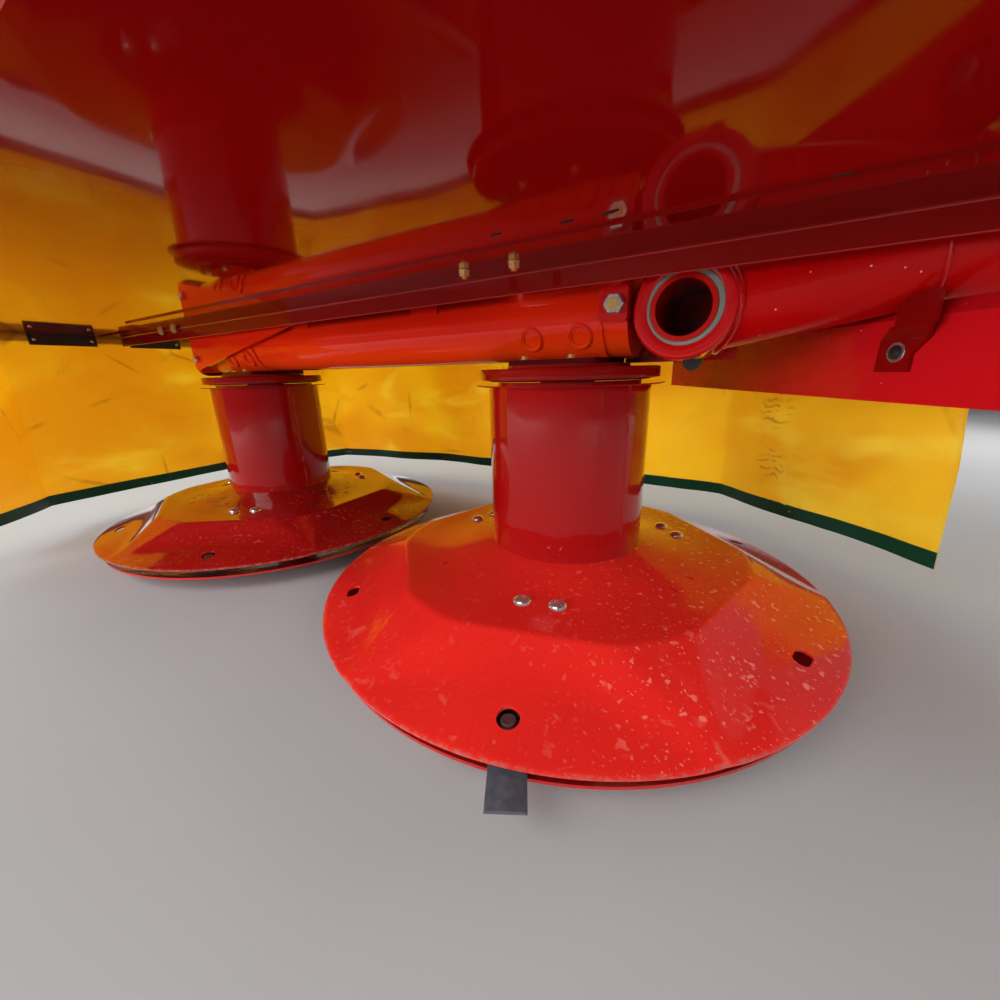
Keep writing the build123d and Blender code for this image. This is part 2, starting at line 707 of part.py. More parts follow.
def input_tower():
    """Upright gear housing on the beam with the neck that enters the belt guard."""
    half = TOWER_SIZE / 2
    base = Pos(TOWER_X, 0, DECK_Z) * RectangleRounded(TOWER_SIZE, TOWER_SIZE, TOWER_CORNER)
    top_size = TOWER_SIZE - 2 * TOWER_TAPER
    crown = Pos(TOWER_X, 0, NECK_Z + TOWER_HEAD) * RectangleRounded(top_size, top_size, TOWER_CORNER)
    body = loft(Sketch() + [base, crown])
    wide = half + TOWER_FLANGE
    foot = block((TOWER_X - wide, TOWER_X + wide), (-half, half), (BEAM_TOP, DECK_Z + TOWER_FLANGE_HEIGHT))
    body += fillet(foot.edges().filter_by(Axis.Z), TOWER_CORNER)
    return body + bar_y(NECK_R, 0, NECK_REACH, TOWER_X, NECK_Z)


# Deck and what hangs from it

def deck_outline(grow):
    rim = offset_path(SKIRT, grow)
    front_outer = (rim[-1][0] - DECK_CORNER, FRONT_EDGE_Y)
    return rim + [front_outer, (INNER_EDGE_X, FRONT_EDGE_Y), (INNER_EDGE_X, rim[0][1])]


def deck():
    """Flat deck with a flange outside the skirt, notched for the arm and the tower."""
    plate = slab(deck_outline(DECK_SHEET), DECK_Z, DECK_TOP)
    notch = (ARM_Y - NOTCH_WIDTH / 2, ARM_Y + NOTCH_WIDTH / 2)
    plate -= block((INNER_EDGE_X - 1, NOTCH_END_X), notch, (DECK_Z - 1, DECK_TOP + 1))
    half = TOWER_HOLE / 2
    plate -= block((-half, half), (-half, half), (DECK_Z - 1, DECK_TOP + 1))
    return plate + wall(SKIRT, 0, DECK_SHEET, DECK_TOP - DECK_FLANGE, DECK_TOP)


def rail():
    """Angle bar bolted under the deck in front of the beam, its flat leg cut back towards the outer end."""
    flat = (DECK_Z - RAIL_SHEET, DECK_Z)
    bar = block((RAIL_INNER_X, RAIL_OUTER_X), (RAIL_Y, RAIL_Y + RAIL_SHEET), (DECK_Z - RAIL_HEIGHT, DECK_Z))
    bar += block((RAIL_INNER_X, RAIL_STEP_X), (RAIL_Y, RAIL_Y + RAIL_DEPTH), flat)
    bar += block((RAIL_STEP_X - 1, RAIL_OUTER_X), (RAIL_Y, RAIL_Y + RAIL_STEP_DEPTH), flat)
    for x in RAIL_HOLE_XS:
        bar -= rod(RAIL_HOLE_R, flat[0] - 1, flat[1] + 1, x, RAIL_Y + RAIL_HOLE_INSET)
    return bar


def curtain():
    """Curtain round the rear and the outer end, inside the deck's flange."""
    return wall(SKIRT, -SKIRT_PLAY - CURTAIN_SHEET, -SKIRT_PLAY, HEM_Z, DECK_Z - SKIRT_PLAY)


def curtain_strips():
    """Short flat strips that clamp the curtain, at an even pitch along each side of the skirt."""
    near = 2 * SKIRT_PLAY + CURTAIN_SHEET
    high = DECK_Z - STRIP_DROP
    strips = []
    for start, end in zip(SKIRT[:-1], SKIRT[1:]):
        run, turn = heading(start, end)
        count = max(int((run - STRIP_LENGTH) // STRIP_PITCH), 0) + 1
        first = (run - STRIP_LENGTH - (count - 1) * STRIP_PITCH) / 2
        for index in range(count):
            low = first + index * STRIP_PITCH
            strip = block((low, low + STRIP_LENGTH), (near, near + STRIP_SHEET), (high - STRIP_HEIGHT, high))
            strips.append(Pos(*start, 0) * Rot(0, 0, turn) * strip)
    return Compound(children=strips)


def front_curtain():
    """Front curtain thrown up over the deck's edge."""
    low = DECK_TOP + SKIRT_PLAY
    front = FRONT_EDGE_Y
    x = (INNER_EDGE_X + FRONT_CURTAIN_INSET, SKIRT[-1][0] - FRONT_CURTAIN_OUTSET)
    return block(x, (front - FRONT_CURTAIN_REACH, front), (low, low + CURTAIN_SHEET))


# Headstock

CROSS_TOP = LINK_Z + CROSS_SIZE / 2
MAST_TOP = LINK_Z + MAST_HEIGHT
EAR_LOW = MAST_TOP - EAR_DROP
EAR_FACE = MAST_GAP / 2 + EAR_SHEET


def headstock():
    """Cross tube with the parking leg's sleeve."""
    half = CROSS_SIZE / 2
    span = LINK_SHOULDERS / 2 - LINK_COLLAR
    y = (HITCH_Y - half, HITCH_Y + half)
    tube = block((HITCH_X - span, HITCH_X + span), y, (LINK_Z - half, CROSS_TOP))
    return fillet(tube.edges().filter_by(Axis.X), MAST_SHEET / 2) + stand_sleeve()


def mast_bars():
    """Two flat bars that lean together from the cross tube to the ears."""
    foot = LINK_SHOULDERS / 2 - LINK_COLLAR - MAST_FOOT_INSET
    bars = []
    for side in (-1, 1):
        outline = [
            (HITCH_X + side * foot, CROSS_TOP),
            (HITCH_X + side * (foot - MAST_BAR), CROSS_TOP),
            (HITCH_X + side * (EAR_FACE - EAR_SHEET), EAR_LOW),
            (HITCH_X + side * (EAR_FACE - EAR_SHEET + MAST_BAR), EAR_LOW),
        ]
        bars.append(upright(outline, HITCH_Y - MAST_SHEET / 2, HITCH_Y + MAST_SHEET / 2))
    return Compound(children=bars)


def mast_head():
    """Two ears for the top link pin on their tie plate."""
    depth = EAR_TIE_DEPTH / 2
    wide = EAR_FACE - EAR_SHEET + MAST_BAR
    y = (HITCH_Y - depth, HITCH_Y + depth)
    head = block((HITCH_X - wide, HITCH_X + wide), y, (EAR_LOW, EAR_LOW + EAR_TIE))
    for side in (-1, 1):
        ear_x = HITCH_X + side * (MAST_GAP + EAR_SHEET) / 2
        along = (ear_x - EAR_SHEET / 2, ear_x + EAR_SHEET / 2)
        head += bar_x(EAR_R, *along, HITCH_Y, MAST_TOP)
        head += block(along, (HITCH_Y - EAR_R, HITCH_Y + EAR_R), (EAR_LOW + EAR_TIE / 2, MAST_TOP))
    return head - bar_x(TOP_PIN_R, HITCH_X - wide, HITCH_X + wide, HITCH_Y, MAST_TOP)


def spine():
    """Square tube back from the cross tube, with the fork for the swing pin."""
    half = SPINE_SIZE / 2
    tube_y = (ARM_Y + FORK_THROAT + FORK_SHEET / 2, HITCH_Y - CROSS_SIZE / 2)
    bar = block((HITCH_X - half, HITCH_X + half), tube_y, (ARM_Z - SPINE_SIZE, ARM_Z))
    bar = fillet(bar.edges().filter_by(Axis.Y), FORK_SHEET / 2)
    return bar + fork()


def brace():
    """Round stay from the mast's head down to the spine by the fork."""
    high = Vector(HITCH_X, HITCH_Y, EAR_LOW + EAR_TIE / 2)
    low = Vector(HITCH_X, ARM_Y + FORK_THROAT + BRACE_START, ARM_Z - BRACE_SINK)
    path = Line(high, low)
    stay = sweep(Plane(origin=path @ 0, z_dir=path % 0) * Circle(BRACE_R), path)
    stay -= mast_head() + mast_bars()
    stay -= spine()
    return max(stay.solids(), key=lambda solid: solid.volume)


def fork():
    """Two plates above and below the knuckle, joined behind its throat."""
    half = KNUCKLE_HEIGHT / 2 + FORK_GAP
    x = (HITCH_X - FORK_WIDTH / 2, HITCH_X + FORK_WIDTH / 2)
    throat = ARM_Y + FORK_THROAT
    body = block(x, (throat, throat + FORK_SHEET), (ARM_Z - half, ARM_Z + half))
    for low in (ARM_Z - half - FORK_SHEET, ARM_Z + half):
        body += rod(FORK_WIDTH / 2, low, low + FORK_SHEET, HITCH_X, ARM_Y)
        body += block(x, (ARM_Y, throat + FORK_THROAT), (low, low + FORK_SHEET))
    return body - rod(SWING_PIN_R, ARM_Z - 2 * half, ARM_Z + 2 * half, HITCH_X, ARM_Y)


def swing_pin():
    """Upright pin through the fork and the knuckle, with its head."""
    half = KNUCKLE_HEIGHT / 2 + FORK_GAP + FORK_SHEET
    pin = rod(SWING_PIN_R, ARM_Z - half - SWING_TAIL, ARM_Z + half, HITCH_X, ARM_Y)
    return pin + rod(SWING_HEAD_R, ARM_Z + half, ARM_Z + half + SWING_HEAD, HITCH_X, ARM_Y)


def link_pin(side):
    """Lower link pin with its collar."""
    shoulder = HITCH_X + side * LINK_SHOULDERS / 2
    ends = sorted((shoulder, shoulder + side * LINK_PIN_LENGTH))
    collar = sorted((shoulder - side * LINK_COLLAR, shoulder))
    return bar_x(LINK_PIN_R, *ends, HITCH_Y, LINK_Z) + bar_x(LINK_COLLAR_R, *collar, HITCH_Y, LINK_Z)


# Parking leg

STAND_Y = HITCH_Y - CROSS_SIZE / 2 - STAND_SLEEVE / 2
SLEEVE_TOP = CROSS_TOP + STAND_SLEEVE_RISE
SLEEVE_LOW = SLEEVE_TOP - STAND_SLEEVE_HEIGHT


def square_bar(half, low, high):
    """Upright square bar on the parking leg's line."""
    return block((STAND_X - half, STAND_X + half), (STAND_Y - half, STAND_Y + half), (low, high))


def stand_sleeve():
    """Square sleeve in front of the cross tube for the parking leg."""
    half = STAND_SLEEVE / 2
    hole = STAND_LEG / 2 + STAND_PLAY
    sleeve = square_bar(half, SLEEVE_LOW, SLEEVE_TOP) - square_bar(hole, SLEEVE_LOW - 1, SLEEVE_TOP + 1)
    return sleeve - bar_y(STAND_PIN_R, STAND_Y - half - 1, STAND_Y, STAND_X, SLEEVE_LOW + STAND_PIN_INSET)


def stand_leg():
    """Parking leg with its foot plate and a row of pin holes."""
    half = STAND_LEG / 2
    leg = square_bar(half, 0, CROSS_TOP + STAND_LEG_RISE)
    leg -= square_bar(half - STAND_WALL, STAND_FOOT_SHEET, CROSS_TOP + 2 * STAND_LEG_RISE)
    leg += square_bar(STAND_FOOT / 2, 0, STAND_FOOT_SHEET)
    for drop in STAND_HOLE_DROPS:
        z = SLEEVE_LOW + STAND_PIN_INSET - drop
        leg -= bar_y(STAND_PIN_R, STAND_Y - half - 1, STAND_Y + half + 1, STAND_X, z)
    return leg


nodes = {
    "headstock": headstock(),
    "mast_bars": mast_bars(),
    "mast_head": mast_head(),
    "spine": spine(),
    "brace": brace(),
    "link_pin_left": link_pin(-1),
    "link_pin_right": link_pin(1),
    "swing_pin": swing_pin(),
    "stand_leg": stand_leg(),
    "carrier_arm": carrier_arm(),
    "arm_hub": arm_hub(),
    "pivot_bush": pivot_bush(),
    "deflector_plate": deflector_plate(),
    "deflector_bracket": deflector_bracket(),
    "belt_guard": belt_guard(),
    "guard_back": guard_back(),
    "guard_stays": guard_stays(),
    "input_bearing": input_bearing(),
    "drive_shield": drive_shield(),
    "drive_shaft": drive_shaft(),
    "gear_beam": gear_beam(),
    "base_plate": base_plate(),
    "hub_keeper": hub_keeper(),
    "end_plate": end_plate(),
    "input_tower": input_tower(),
    "deck": deck(),
    "rail": rail(),
    "curtain": curtain(),
    "curtain_strips": curtain_strips(),
    "front_curtain": front_curtain(),
}
for name, x in DRUM_XS.items():
    turn = DISC_ANGLES[name]
    nodes[f"cap_{name}"] = drum_cap(x)
    nodes[f"drum_{name}"] = drum(x)
    nodes[f"disc_{name}"] = cutting_disc(x, turn)
    nodes[f"carriers_{name}"] = knife_carriers(x, turn)
    nodes[f"saucer_{name}"] = saucer(x)
for name, station, swing in KNIVES:
    turn = DISC_ANGLES[name] + station * 360 / KNIFE_COUNT
    nodes[f"knife_{name}_{station + 1}"] = knife(DRUM_XS[name], turn, swing)

os.makedirs("parts", exist_ok=True)
for name, shape in nodes.items():
    export_step(shape, f"parts/{name}.step")
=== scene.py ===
import bmesh
import bpy
import json
from math import cos, exp, pi, radians, sin, sqrt
from mathutils import Matrix, Vector, noise


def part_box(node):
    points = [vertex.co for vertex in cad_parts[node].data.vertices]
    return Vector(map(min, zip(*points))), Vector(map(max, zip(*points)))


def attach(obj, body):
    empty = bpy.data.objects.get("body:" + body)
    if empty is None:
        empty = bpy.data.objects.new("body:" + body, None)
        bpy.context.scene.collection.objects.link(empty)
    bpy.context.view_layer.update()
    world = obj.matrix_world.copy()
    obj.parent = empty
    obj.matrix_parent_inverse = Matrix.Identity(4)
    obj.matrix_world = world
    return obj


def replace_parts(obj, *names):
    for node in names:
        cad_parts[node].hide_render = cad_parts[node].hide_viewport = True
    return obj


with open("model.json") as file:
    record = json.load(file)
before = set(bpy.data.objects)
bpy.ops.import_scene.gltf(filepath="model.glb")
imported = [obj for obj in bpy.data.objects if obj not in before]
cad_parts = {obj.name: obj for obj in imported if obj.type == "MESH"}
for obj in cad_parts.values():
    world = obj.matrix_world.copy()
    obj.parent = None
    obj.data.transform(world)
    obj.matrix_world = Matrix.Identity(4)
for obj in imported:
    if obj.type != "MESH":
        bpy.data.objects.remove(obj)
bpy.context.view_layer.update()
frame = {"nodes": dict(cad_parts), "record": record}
NODES = frame["nodes"]

# Sizes in metres, in the machine's frame: +X outwards, +Y to the tractor, +Z up

DRUM_XS = {"inner": 0.0, "outer": 0.89}
DISC_TURN = {"inner": radians(104.5), "outer": radians(124.5)}
DRUM_R = 0.1315
DRUM_LOW = 0.120
DRUM_TOP = 0.412
LIP_R = 0.1535
LIP_SHEET = 0.002
CAP_LOW = 0.417
CAP_TOP = 0.436
CAP_R = 0.145
CAP_NECK_R = 0.132
CAP_FLANGE = 0.017
DRUM_BOSS_R = 0.118
DRUM_BOSS_TOP = 0.416
SEAT_R = 0.100
SADDLE_LOW = 0.441
BEAM_R = 0.057
BEAM_Z = 0.504
ARM_Y = 0.002
ARM_Z = 0.546
MITRE_X = -0.418
DECK_Z = 0.567
DISC_R = 0.430
DISC_RIM_Z = 0.066
DISC_SHEET = 0.004
SAUCER_R = 0.420
HEM_Z = 0.086
HEM_HEIGHT = 0.030
HUB_X = -0.182
HUB_R = 0.063
HUB_FRONT = 0.067
HUB_REAR = -0.066
BUSH_R = 0.046
PIVOT_R = 0.040
PIVOT_BORE_R = 0.0335
SKIRT = [
    (-0.575, -0.269),
    (-0.253, -0.600),
    (-0.060, -0.632),
    (0.829, -0.645),
    (1.300, -0.552),
    (1.522, -0.135),
    (1.464, 0.375),
    (1.264, 0.560),
]

# Cutting disc: flat top, six facets, ridges that run out at the rim, and a flatter brim

DISC_TOP = 0.120
RIDGE_R = 0.309
FLAT_R = 0.291
RIDGE_SLOPE = 0.445
FACET_SLOPE = 0.66
BRIM_R = 0.335
BRIM_Z = 0.090
BRIM_SLOPE = (BRIM_Z - DISC_RIM_Z) / (DISC_R - BRIM_R)
RIDGE_BLEND = 0.002
TOP_BLEND = 0.004
BRIM_BLEND = 0.010
EDGE_STEP = 0.0018
EDGE_DEPTH = 0.004
RIM_FROM_R = 0.426
RIM_WIDTH = 0.004
RIM_DROOP = 0.0008
DISC_STEPS = 288
DISC_RINGS = [0.10, 0.15, 0.20, 0.24, 0.26, 0.27, 0.276]
DISC_RINGS += [0.28 + 0.002 * i for i in range(18)]
DISC_RINGS += [0.318 + 0.004 * i for i in range(28)]
DISC_RINGS += [0.4285, DISC_R]
HOLE_R = 0.384
ROUND_HOLE_R = 0.013
OVAL_HOLE_R = 0.010
OVAL_HALF = 0.007
CUT_LOW = 0.02
CUT_HIGH = 0.14
SLOT_AT_R = 0.225
SLOT_HALF_LENGTH = 0.006
SLOT_HALF_WIDTH = 0.003
SLOT_LOW = 0.05
PAIR_TURN = radians(6.5)
DOME_AT_R = 0.222
DOME_R = 0.0135
DOME_HEIGHT = 0.0085
DOME_LIFT = 0.001
PIN_HEAD_R = 0.0085
PIN_HEAD_LOW = DISC_RIM_Z - 0.001
PIN_HEAD_TOP = DISC_RIM_Z + 0.0095
DISC_HUB_R = 0.062
DISC_HUB_LOW = 0.062
DISC_HUB_TOP = 0.1165
AXLE_R = 0.025
AXLE_LOW = 0.008

# Drum shell and its two seam plates, cap and saucer

DRUM_WALL = 0.004
DRUM_FOOT = 0.003
DRUM_ROWS = 60
DRUM_STEPS = 480
SEAM_WIDTH = radians(17)
SEAM_TURN = radians(-8)
SEAM_PROUD = 0.0014
SEAM_WANDER = 0.006
SEAM_RISE = radians(0.7)
SEAM_LUMPS = 0.0002
BEAD_WIDTH = radians(0.9)
BEAD_PROUD = 0.0009
CAP_BORE_R = 0.046
CAP_SHAFT_R = 0.045
CAP_SHAFT_LOW = 0.350
SAUCER_SHEET = 0.004
SAUCER_LOW = [
    (0.0, 0.0),
    (0.185, 0.0),
    (0.195, 0.0006),
    (0.340, 0.0155),
    (0.350, 0.0180),
    (0.4185, 0.0380),
    (SAUCER_R, 0.0390),
]
SAUCER_HUB = [(0.0251, 0.003), (0.052, 0.003), (0.052, 0.057), (0.0251, 0.057)]

# Curtains: cloth thickness, hem, billow and folds

CLOTH = 0.0011
CLOTH_ROWS = 42
CLOTH_SMOOTH = 60.0
SKIRT_STEP = 0.012
SKIRT_INSIDE = 0.0018
CURTAIN_TOP = DECK_Z - 0.0006
HEM_PROUD = 0.0009
HEM_ROWS = 4
HELD_DROP = 0.03
SLACK_DROP = 0.12
FOLD_DROP = 0.10
FOLD_AT = Vector((-0.212, -0.608))
BILLOW_WIDE = 0.016
BILLOW_FOLDS = 0.012
BILLOW_CRUMPLE = 0.0045
BILLOW_MEAN = 0.003
LEAN = 0.134
LEAN_DROP = 0.49
LEAN_SHARE = 0.56
LEAN_RUN = 0.20
LAID_COLUMNS = 150
LAID_ROWS = 44
LAID_LIFT = 0.0012
LAID_WAVES = 0.008
LAID_RIPPLES = 0.003
STAINS = ((-0.325, -0.52, 0.330), (-0.325, -0.52, 0.200))

# Pivot's worn bush, its stop, and the cast beads on the saddles

BUSH_SHIFT = 0.0018
BUSH_WAY = radians(215)
HUB_ROUND = 0.006
HUB_WELD_R = 0.0055
MITRE_WELD_R = 0.0022
STOP_R = 0.0125
STOP_DROP = 0.015
STOP_WIDE = 0.008
STOP_Y = 0.026
STOP_Z = 0.4425
RING_ANGLE = radians(-25)
RING_PITCH = 0.080
RING_MIDDLE_R = 0.0165
RING_FACE_R = 0.0610
RING_BEAD_R = 0.0030

# Fastenings: places, and the sizes of an M8 nut

NUT_ACROSS = 0.013
NUT_HEIGHT = 0.0065
NUT_WASHER_R = 0.0080
NUT_WASHER = 0.0016
STUD_R = 0.004
STUD_LENGTH = 0.0040
STUD_FROM = 0.0078
RAIL_FACE = DECK_Z - 0.003
RAIL_BOLTS = ((0.081, 0.168), (0.005, 0.167), (1.161, 0.110), (1.085, 0.109))
KEEPER_BOLTS = (
    ((-0.0970, 0.0740, 0.515), 0.024, 0.011, 0.0078),
    ((1.079, 0.0720, 0.486), 0.019, 0.009, 0.0062),
)
CROWN = 0.0006
CROWN_SUNK = 0.0002
FOOT_BOLT_XS = (-0.033, 0.045)
FOOT_BOLT_Y = 0.066
FOOT_BOLT_Z = SADDLE_LOW + 0.008
FOOT_BOLT_ACROSS = 0.010
FOOT_BOLT_HEIGHT = 0.0045
STRAP_KNEE = Vector((-0.395, 0.0, 0.0))
STRAP_TOE = Vector((-0.500, 0.160, 0.0))
STRAP_BOLT_RUN = 0.0236
STRAP_SHEET = 0.005
STRAP_BOLT_Z = 0.442
STRAP_WASHER_R = 0.0108
STRAP_WASHER = 0.0018
STRAP_HEAD_R = 0.0078
STRAP_HEAD_HEIGHT = 0.0045
RAIL_SHEET = 0.003
RAIL_BEND = 0.0018
PLUG_SHEET = 0.0006
PLUG_HALF_WIDTH = 0.0026
PLUG_TURN = radians(-14)
PLUGS = [
    (-0.028, 0.262, 0.008),
    (-0.103, 0.255, 0.008),
    (-0.144, 0.254, 0.009),
    (-0.311, 0.226, 0.008),
]
STRIP_LENGTH = 0.150
STRIP_PITCH = 0.235
STRIP_FACE = 0.0076
STRIP_Z = DECK_Z - 0.001 - 0.015
RIVET_INSET = 0.011
RIVET_R = 0.0045
RIVET_HEIGHT = 0.0022
KNIFE_EDGE = 0.0008

# Soft studio lights: name, place, target, size, watts, seen in reflections

LIGHTS = (
    ("front_high", (0.8, 3.4, 3.0), (0.3, 0.3, 0.1), (3.0, 2.0), 110, True),
    ("front_low", (1.8, 2.9, 0.7), (0.5, 0.0, 0.4), (3.0, 0.9), 80, False),
    ("rear_soft", (1.5, -3.2, 0.95), (0.5, -0.6, 0.35), (4.5, 1.4), 170, False),
    ("rear_inner", (-2.6, -2.3, 0.9), (-0.4, -0.45, 0.33), (1.6, 1.2), 55, False),
    ("side_soft", (4.6, 0.4, 1.3), (1.4, 0.0, 0.3), (3.0, 1.6), 130, False),
    ("inner_soft", (-2.6, 1.6, 1.1), (0.2, 0.2, 0.1), (1.6, 1.2), 45, False),
)
SKY = (0.94, 0.97, 1.0, 1)
SKY_STRENGTH = 0.22
FLOOR_HALF = 30

# Camera of the photograph

CAMERA_AT = Vector((-0.284, 0.677, 0.433))
CAMERA_HEADING = radians(-57.98)
CAMERA_PITCH = radians(-17.16)
CAMERA_ROLL = radians(1.51)
CAMERA_LENS = 15.0
SENSOR = 36.0


def place_camera():
    forward = Vector((
        cos(CAMERA_HEADING) * cos(CAMERA_PITCH),
        sin(CAMERA_HEADING) * cos(CAMERA_PITCH),
        sin(CAMERA_PITCH),
    ))
    level = forward.cross(Vector((0, 0, 1))).normalized()
    upright = level.cross(forward)
    right = level * cos(CAMERA_ROLL) - upright * sin(CAMERA_ROLL)
    top = level * sin(CAMERA_ROLL) + upright * cos(CAMERA_ROLL)
    data = bpy.data.cameras.new("camera")
    data.lens = CAMERA_LENS
    data.sensor_width = SENSOR
    data.clip_start = 0.01
    data.clip_end = 60
    camera = bpy.data.objects.new("camera", data)
    bpy.context.collection.objects.link(camera)
    turned = Matrix((right, top, -forward)).transposed().to_4x4()
    camera.matrix_world = Matrix.Translation(CAMERA_AT) @ turned
    bpy.context.scene.camera = camera


# Materials

class Nodes:
    """Short hand for building one node tree."""

    def __init__(self, name):
        self.material = bpy.data.materials.new(name)
        self.material.use_nodes = True
        self.tree = self.material.node_tree
        self.shader = self.tree.nodes["Principled BSDF"]
        self.coords = self.add("ShaderNodeTexCoord").outputs["Object"]

    def add(self, kind, **values):
        node = self.tree.nodes.new(kind)
        for key, value in values.items():
            setattr(node, key, value)
        return node

    def link(self, source, target):
        self.tree.links.new(source, target)

    def put(self, **values):
        for key, value in values.items():
            self.shader.inputs[key.replace("_", " ")].default_value = value

    def noise(self, scale, detail=3.0, rough=0.5, stretch=None, distort=0.0):
        node = self.add("ShaderNodeTexNoise")
        node.inputs["Scale"].default_value = scale
        node.inputs["Detail"].default_value = detail
        node.inputs["Roughness"].default_value = rough
        node.inputs["Distortion"].default_value = distort
        self.link(self.stretched(stretch), node.inputs["Vector"])
        return node.outputs["Fac"]

    def stretched(self, stretch):
        if stretch is None:
            return self.coords
        mapping = self.add("ShaderNodeMapping")
        mapping.inputs["Scale"].default_value = stretch
        self.link(self.coords, mapping.inputs["Vector"])
        return mapping.outputs["Vector"]

    def ramp(self, source, low, high, start=0.0, end=1.0):
        node = self.add("ShaderNodeMapRange", interpolation_type="SMOOTHSTEP")
        for key, value in zip(("From Min", "From Max", "To Min", "To Max"), (low, high, start, end)):
            node.inputs[key].default_value = value
        self.link(source, node.inputs["Value"])
        return node.outputs["Result"]

    def math(self, operation, first, second):
        node = self.add("ShaderNodeMath", operation=operation)
        for socket, value in zip(node.inputs, (first, second)):
            if hasattr(value, "is_linked"):
                self.link(value, socket)
            else:
                socket.default_value = value
        return node.outputs["Value"]

    def mix(self, factor, first, second):
        node = self.add("ShaderNodeMix", data_type="RGBA")
        self.link(factor, node.inputs["Factor"])
        for socket, value in zip((node.inputs[6], node.inputs[7]), (first, second)):
            if hasattr(value, "is_linked"):
                self.link(value, socket)
            else:
                socket.default_value = (*value, 1.0)
        return node.outputs[2]

    def dots(self, scale, size):
        """Sparse round dots, each up to size of a cell wide."""
        cells = self.add("ShaderNodeTexVoronoi")
        cells.inputs["Scale"].default_value = scale
        self.link(self.coords, cells.inputs["Vector"])
        split = self.add("ShaderNodeSeparateColor")
        self.link(cells.outputs["Color"], split.inputs[0])
        chosen = self.ramp(split.outputs[0], 0.80, 0.82)
        near = self.ramp(cells.outputs["Distance"], size * 0.7, size, 1.0, 0.0)
        return self.math("MULTIPLY", near, chosen)

    def creases(self, scale):
        """Sparse thin lines, straight for some way, as folds leave in a sheet."""
        cells = self.add("ShaderNodeTexVoronoi", feature="DISTANCE_TO_EDGE")
        cells.inputs["Scale"].default_value = scale
        cells.inputs["Randomness"].default_value = 1.0
        self.link(self.coords, cells.inputs["Vector"])
        lines = self.ramp(cells.outputs["Distance"], 0.004, 0.016, 1.0, 0.0)
        return self.math("MULTIPLY", lines, self.ramp(self.noise(6, 3.0, 0.6), 0.50, 0.64))

    def bump(self, *layers):
        """Layers of (height output, distance in metres, strength)."""
        normal = None
        for height, distance, strength in layers:
            node = self.add("ShaderNodeBump")
            node.inputs["Distance"].default_value = distance
            node.inputs["Strength"].default_value = strength
            self.link(height, node.inputs["Height"])
            if normal is not None:
                self.link(normal, node.inputs["Normal"])
            normal = node.outputs["Normal"]
        self.link(normal, self.shader.inputs["Normal"])

    def along(self, x, y, z):
        """How far a point lies along a direction."""
        node = self.add("ShaderNodeVectorMath", operation="DOT_PRODUCT")
        self.link(self.coords, node.inputs[0])
        node.inputs[1].default_value = (x, y, z)
        return node.outputs["Value"]

    def radius(self, *centre):
        """Distance from a point, or from an axis along the coordinate given as None."""
        free = [0.0 if value is None else 1.0 for value in centre]
        away = self.add("ShaderNodeVectorMath", operation="MULTIPLY_ADD")
        self.link(self.coords, away.inputs[0])
        away.inputs[1].default_value = free
        away.inputs[2].default_value = [0.0 if value is None else -value for value in centre]
        node = self.add("ShaderNodeVectorMath", operation="LENGTH")
        self.link(away.outputs["Vector"], node.inputs[0])
        return node.outputs["Value"]

    def cover(self, mask, colour, coat=0.0):
        """Lays a tone over the base colour where the mask is 1 and takes the coat down to a share there."""
        base = self.shader.inputs["Base Color"]
        self.link(self.mix(mask, base.links[0].from_socket, colour), base)
        self.link(self.ramp(mask, 0.0, 1.0, 1.0, coat), self.shader.inputs["Coat Weight"])
        return self


def paint(name, base, shade, rough=0.10, wave=0.0004, dust=0.10, coat=1.42, chips=0.0, ripple=0.0):
    """Glossy enamel with faint waves, upright ripples, dust, tone changes and small pale chips."""
    n = Nodes(name)
    n.put(Coat_Weight=1.0, Coat_Roughness=0.03, Coat_IOR=coat, Specular_IOR_Level=0.1)
    tone = n.mix(n.ramp(n.noise(2.4, 2.0), 0.35, 0.7), base, shade)
    specks = n.ramp(n.noise(700, 2.0, 0.7), 0.68, 0.76, 0.0, dust * 1.5)
    tone = n.mix(specks, tone, (0.50, 0.20, 0.10))
    film = n.ramp(n.noise(9, 5.0, 0.65), 0.55, 0.85, 0.0, dust * 0.6)
    tone = n.mix(film, tone, (0.34, 0.10, 0.07))
    if chips:
        tone = n.mix(n.math("MULTIPLY", n.dots(75, 0.085), chips), tone, (0.86, 0.50, 0.45))
    n.link(tone, n.shader.inputs["Base Color"])
    n.link(n.ramp(n.noise(14, 4.0), 0.3, 0.8, rough * 0.7, rough * 2.2), n.shader.inputs["Roughness"])
    layers = [(n.noise(5.5, 1.0), wave * 4, 0.5), (n.noise(320, 2.0), 0.00002, 0.6)]
    if ripple:
        layers.append((n.noise(26, 1.0, 0.4, (1, 1, 0.10)), ripple, 0.5))
    n.bump(*layers)
    return n


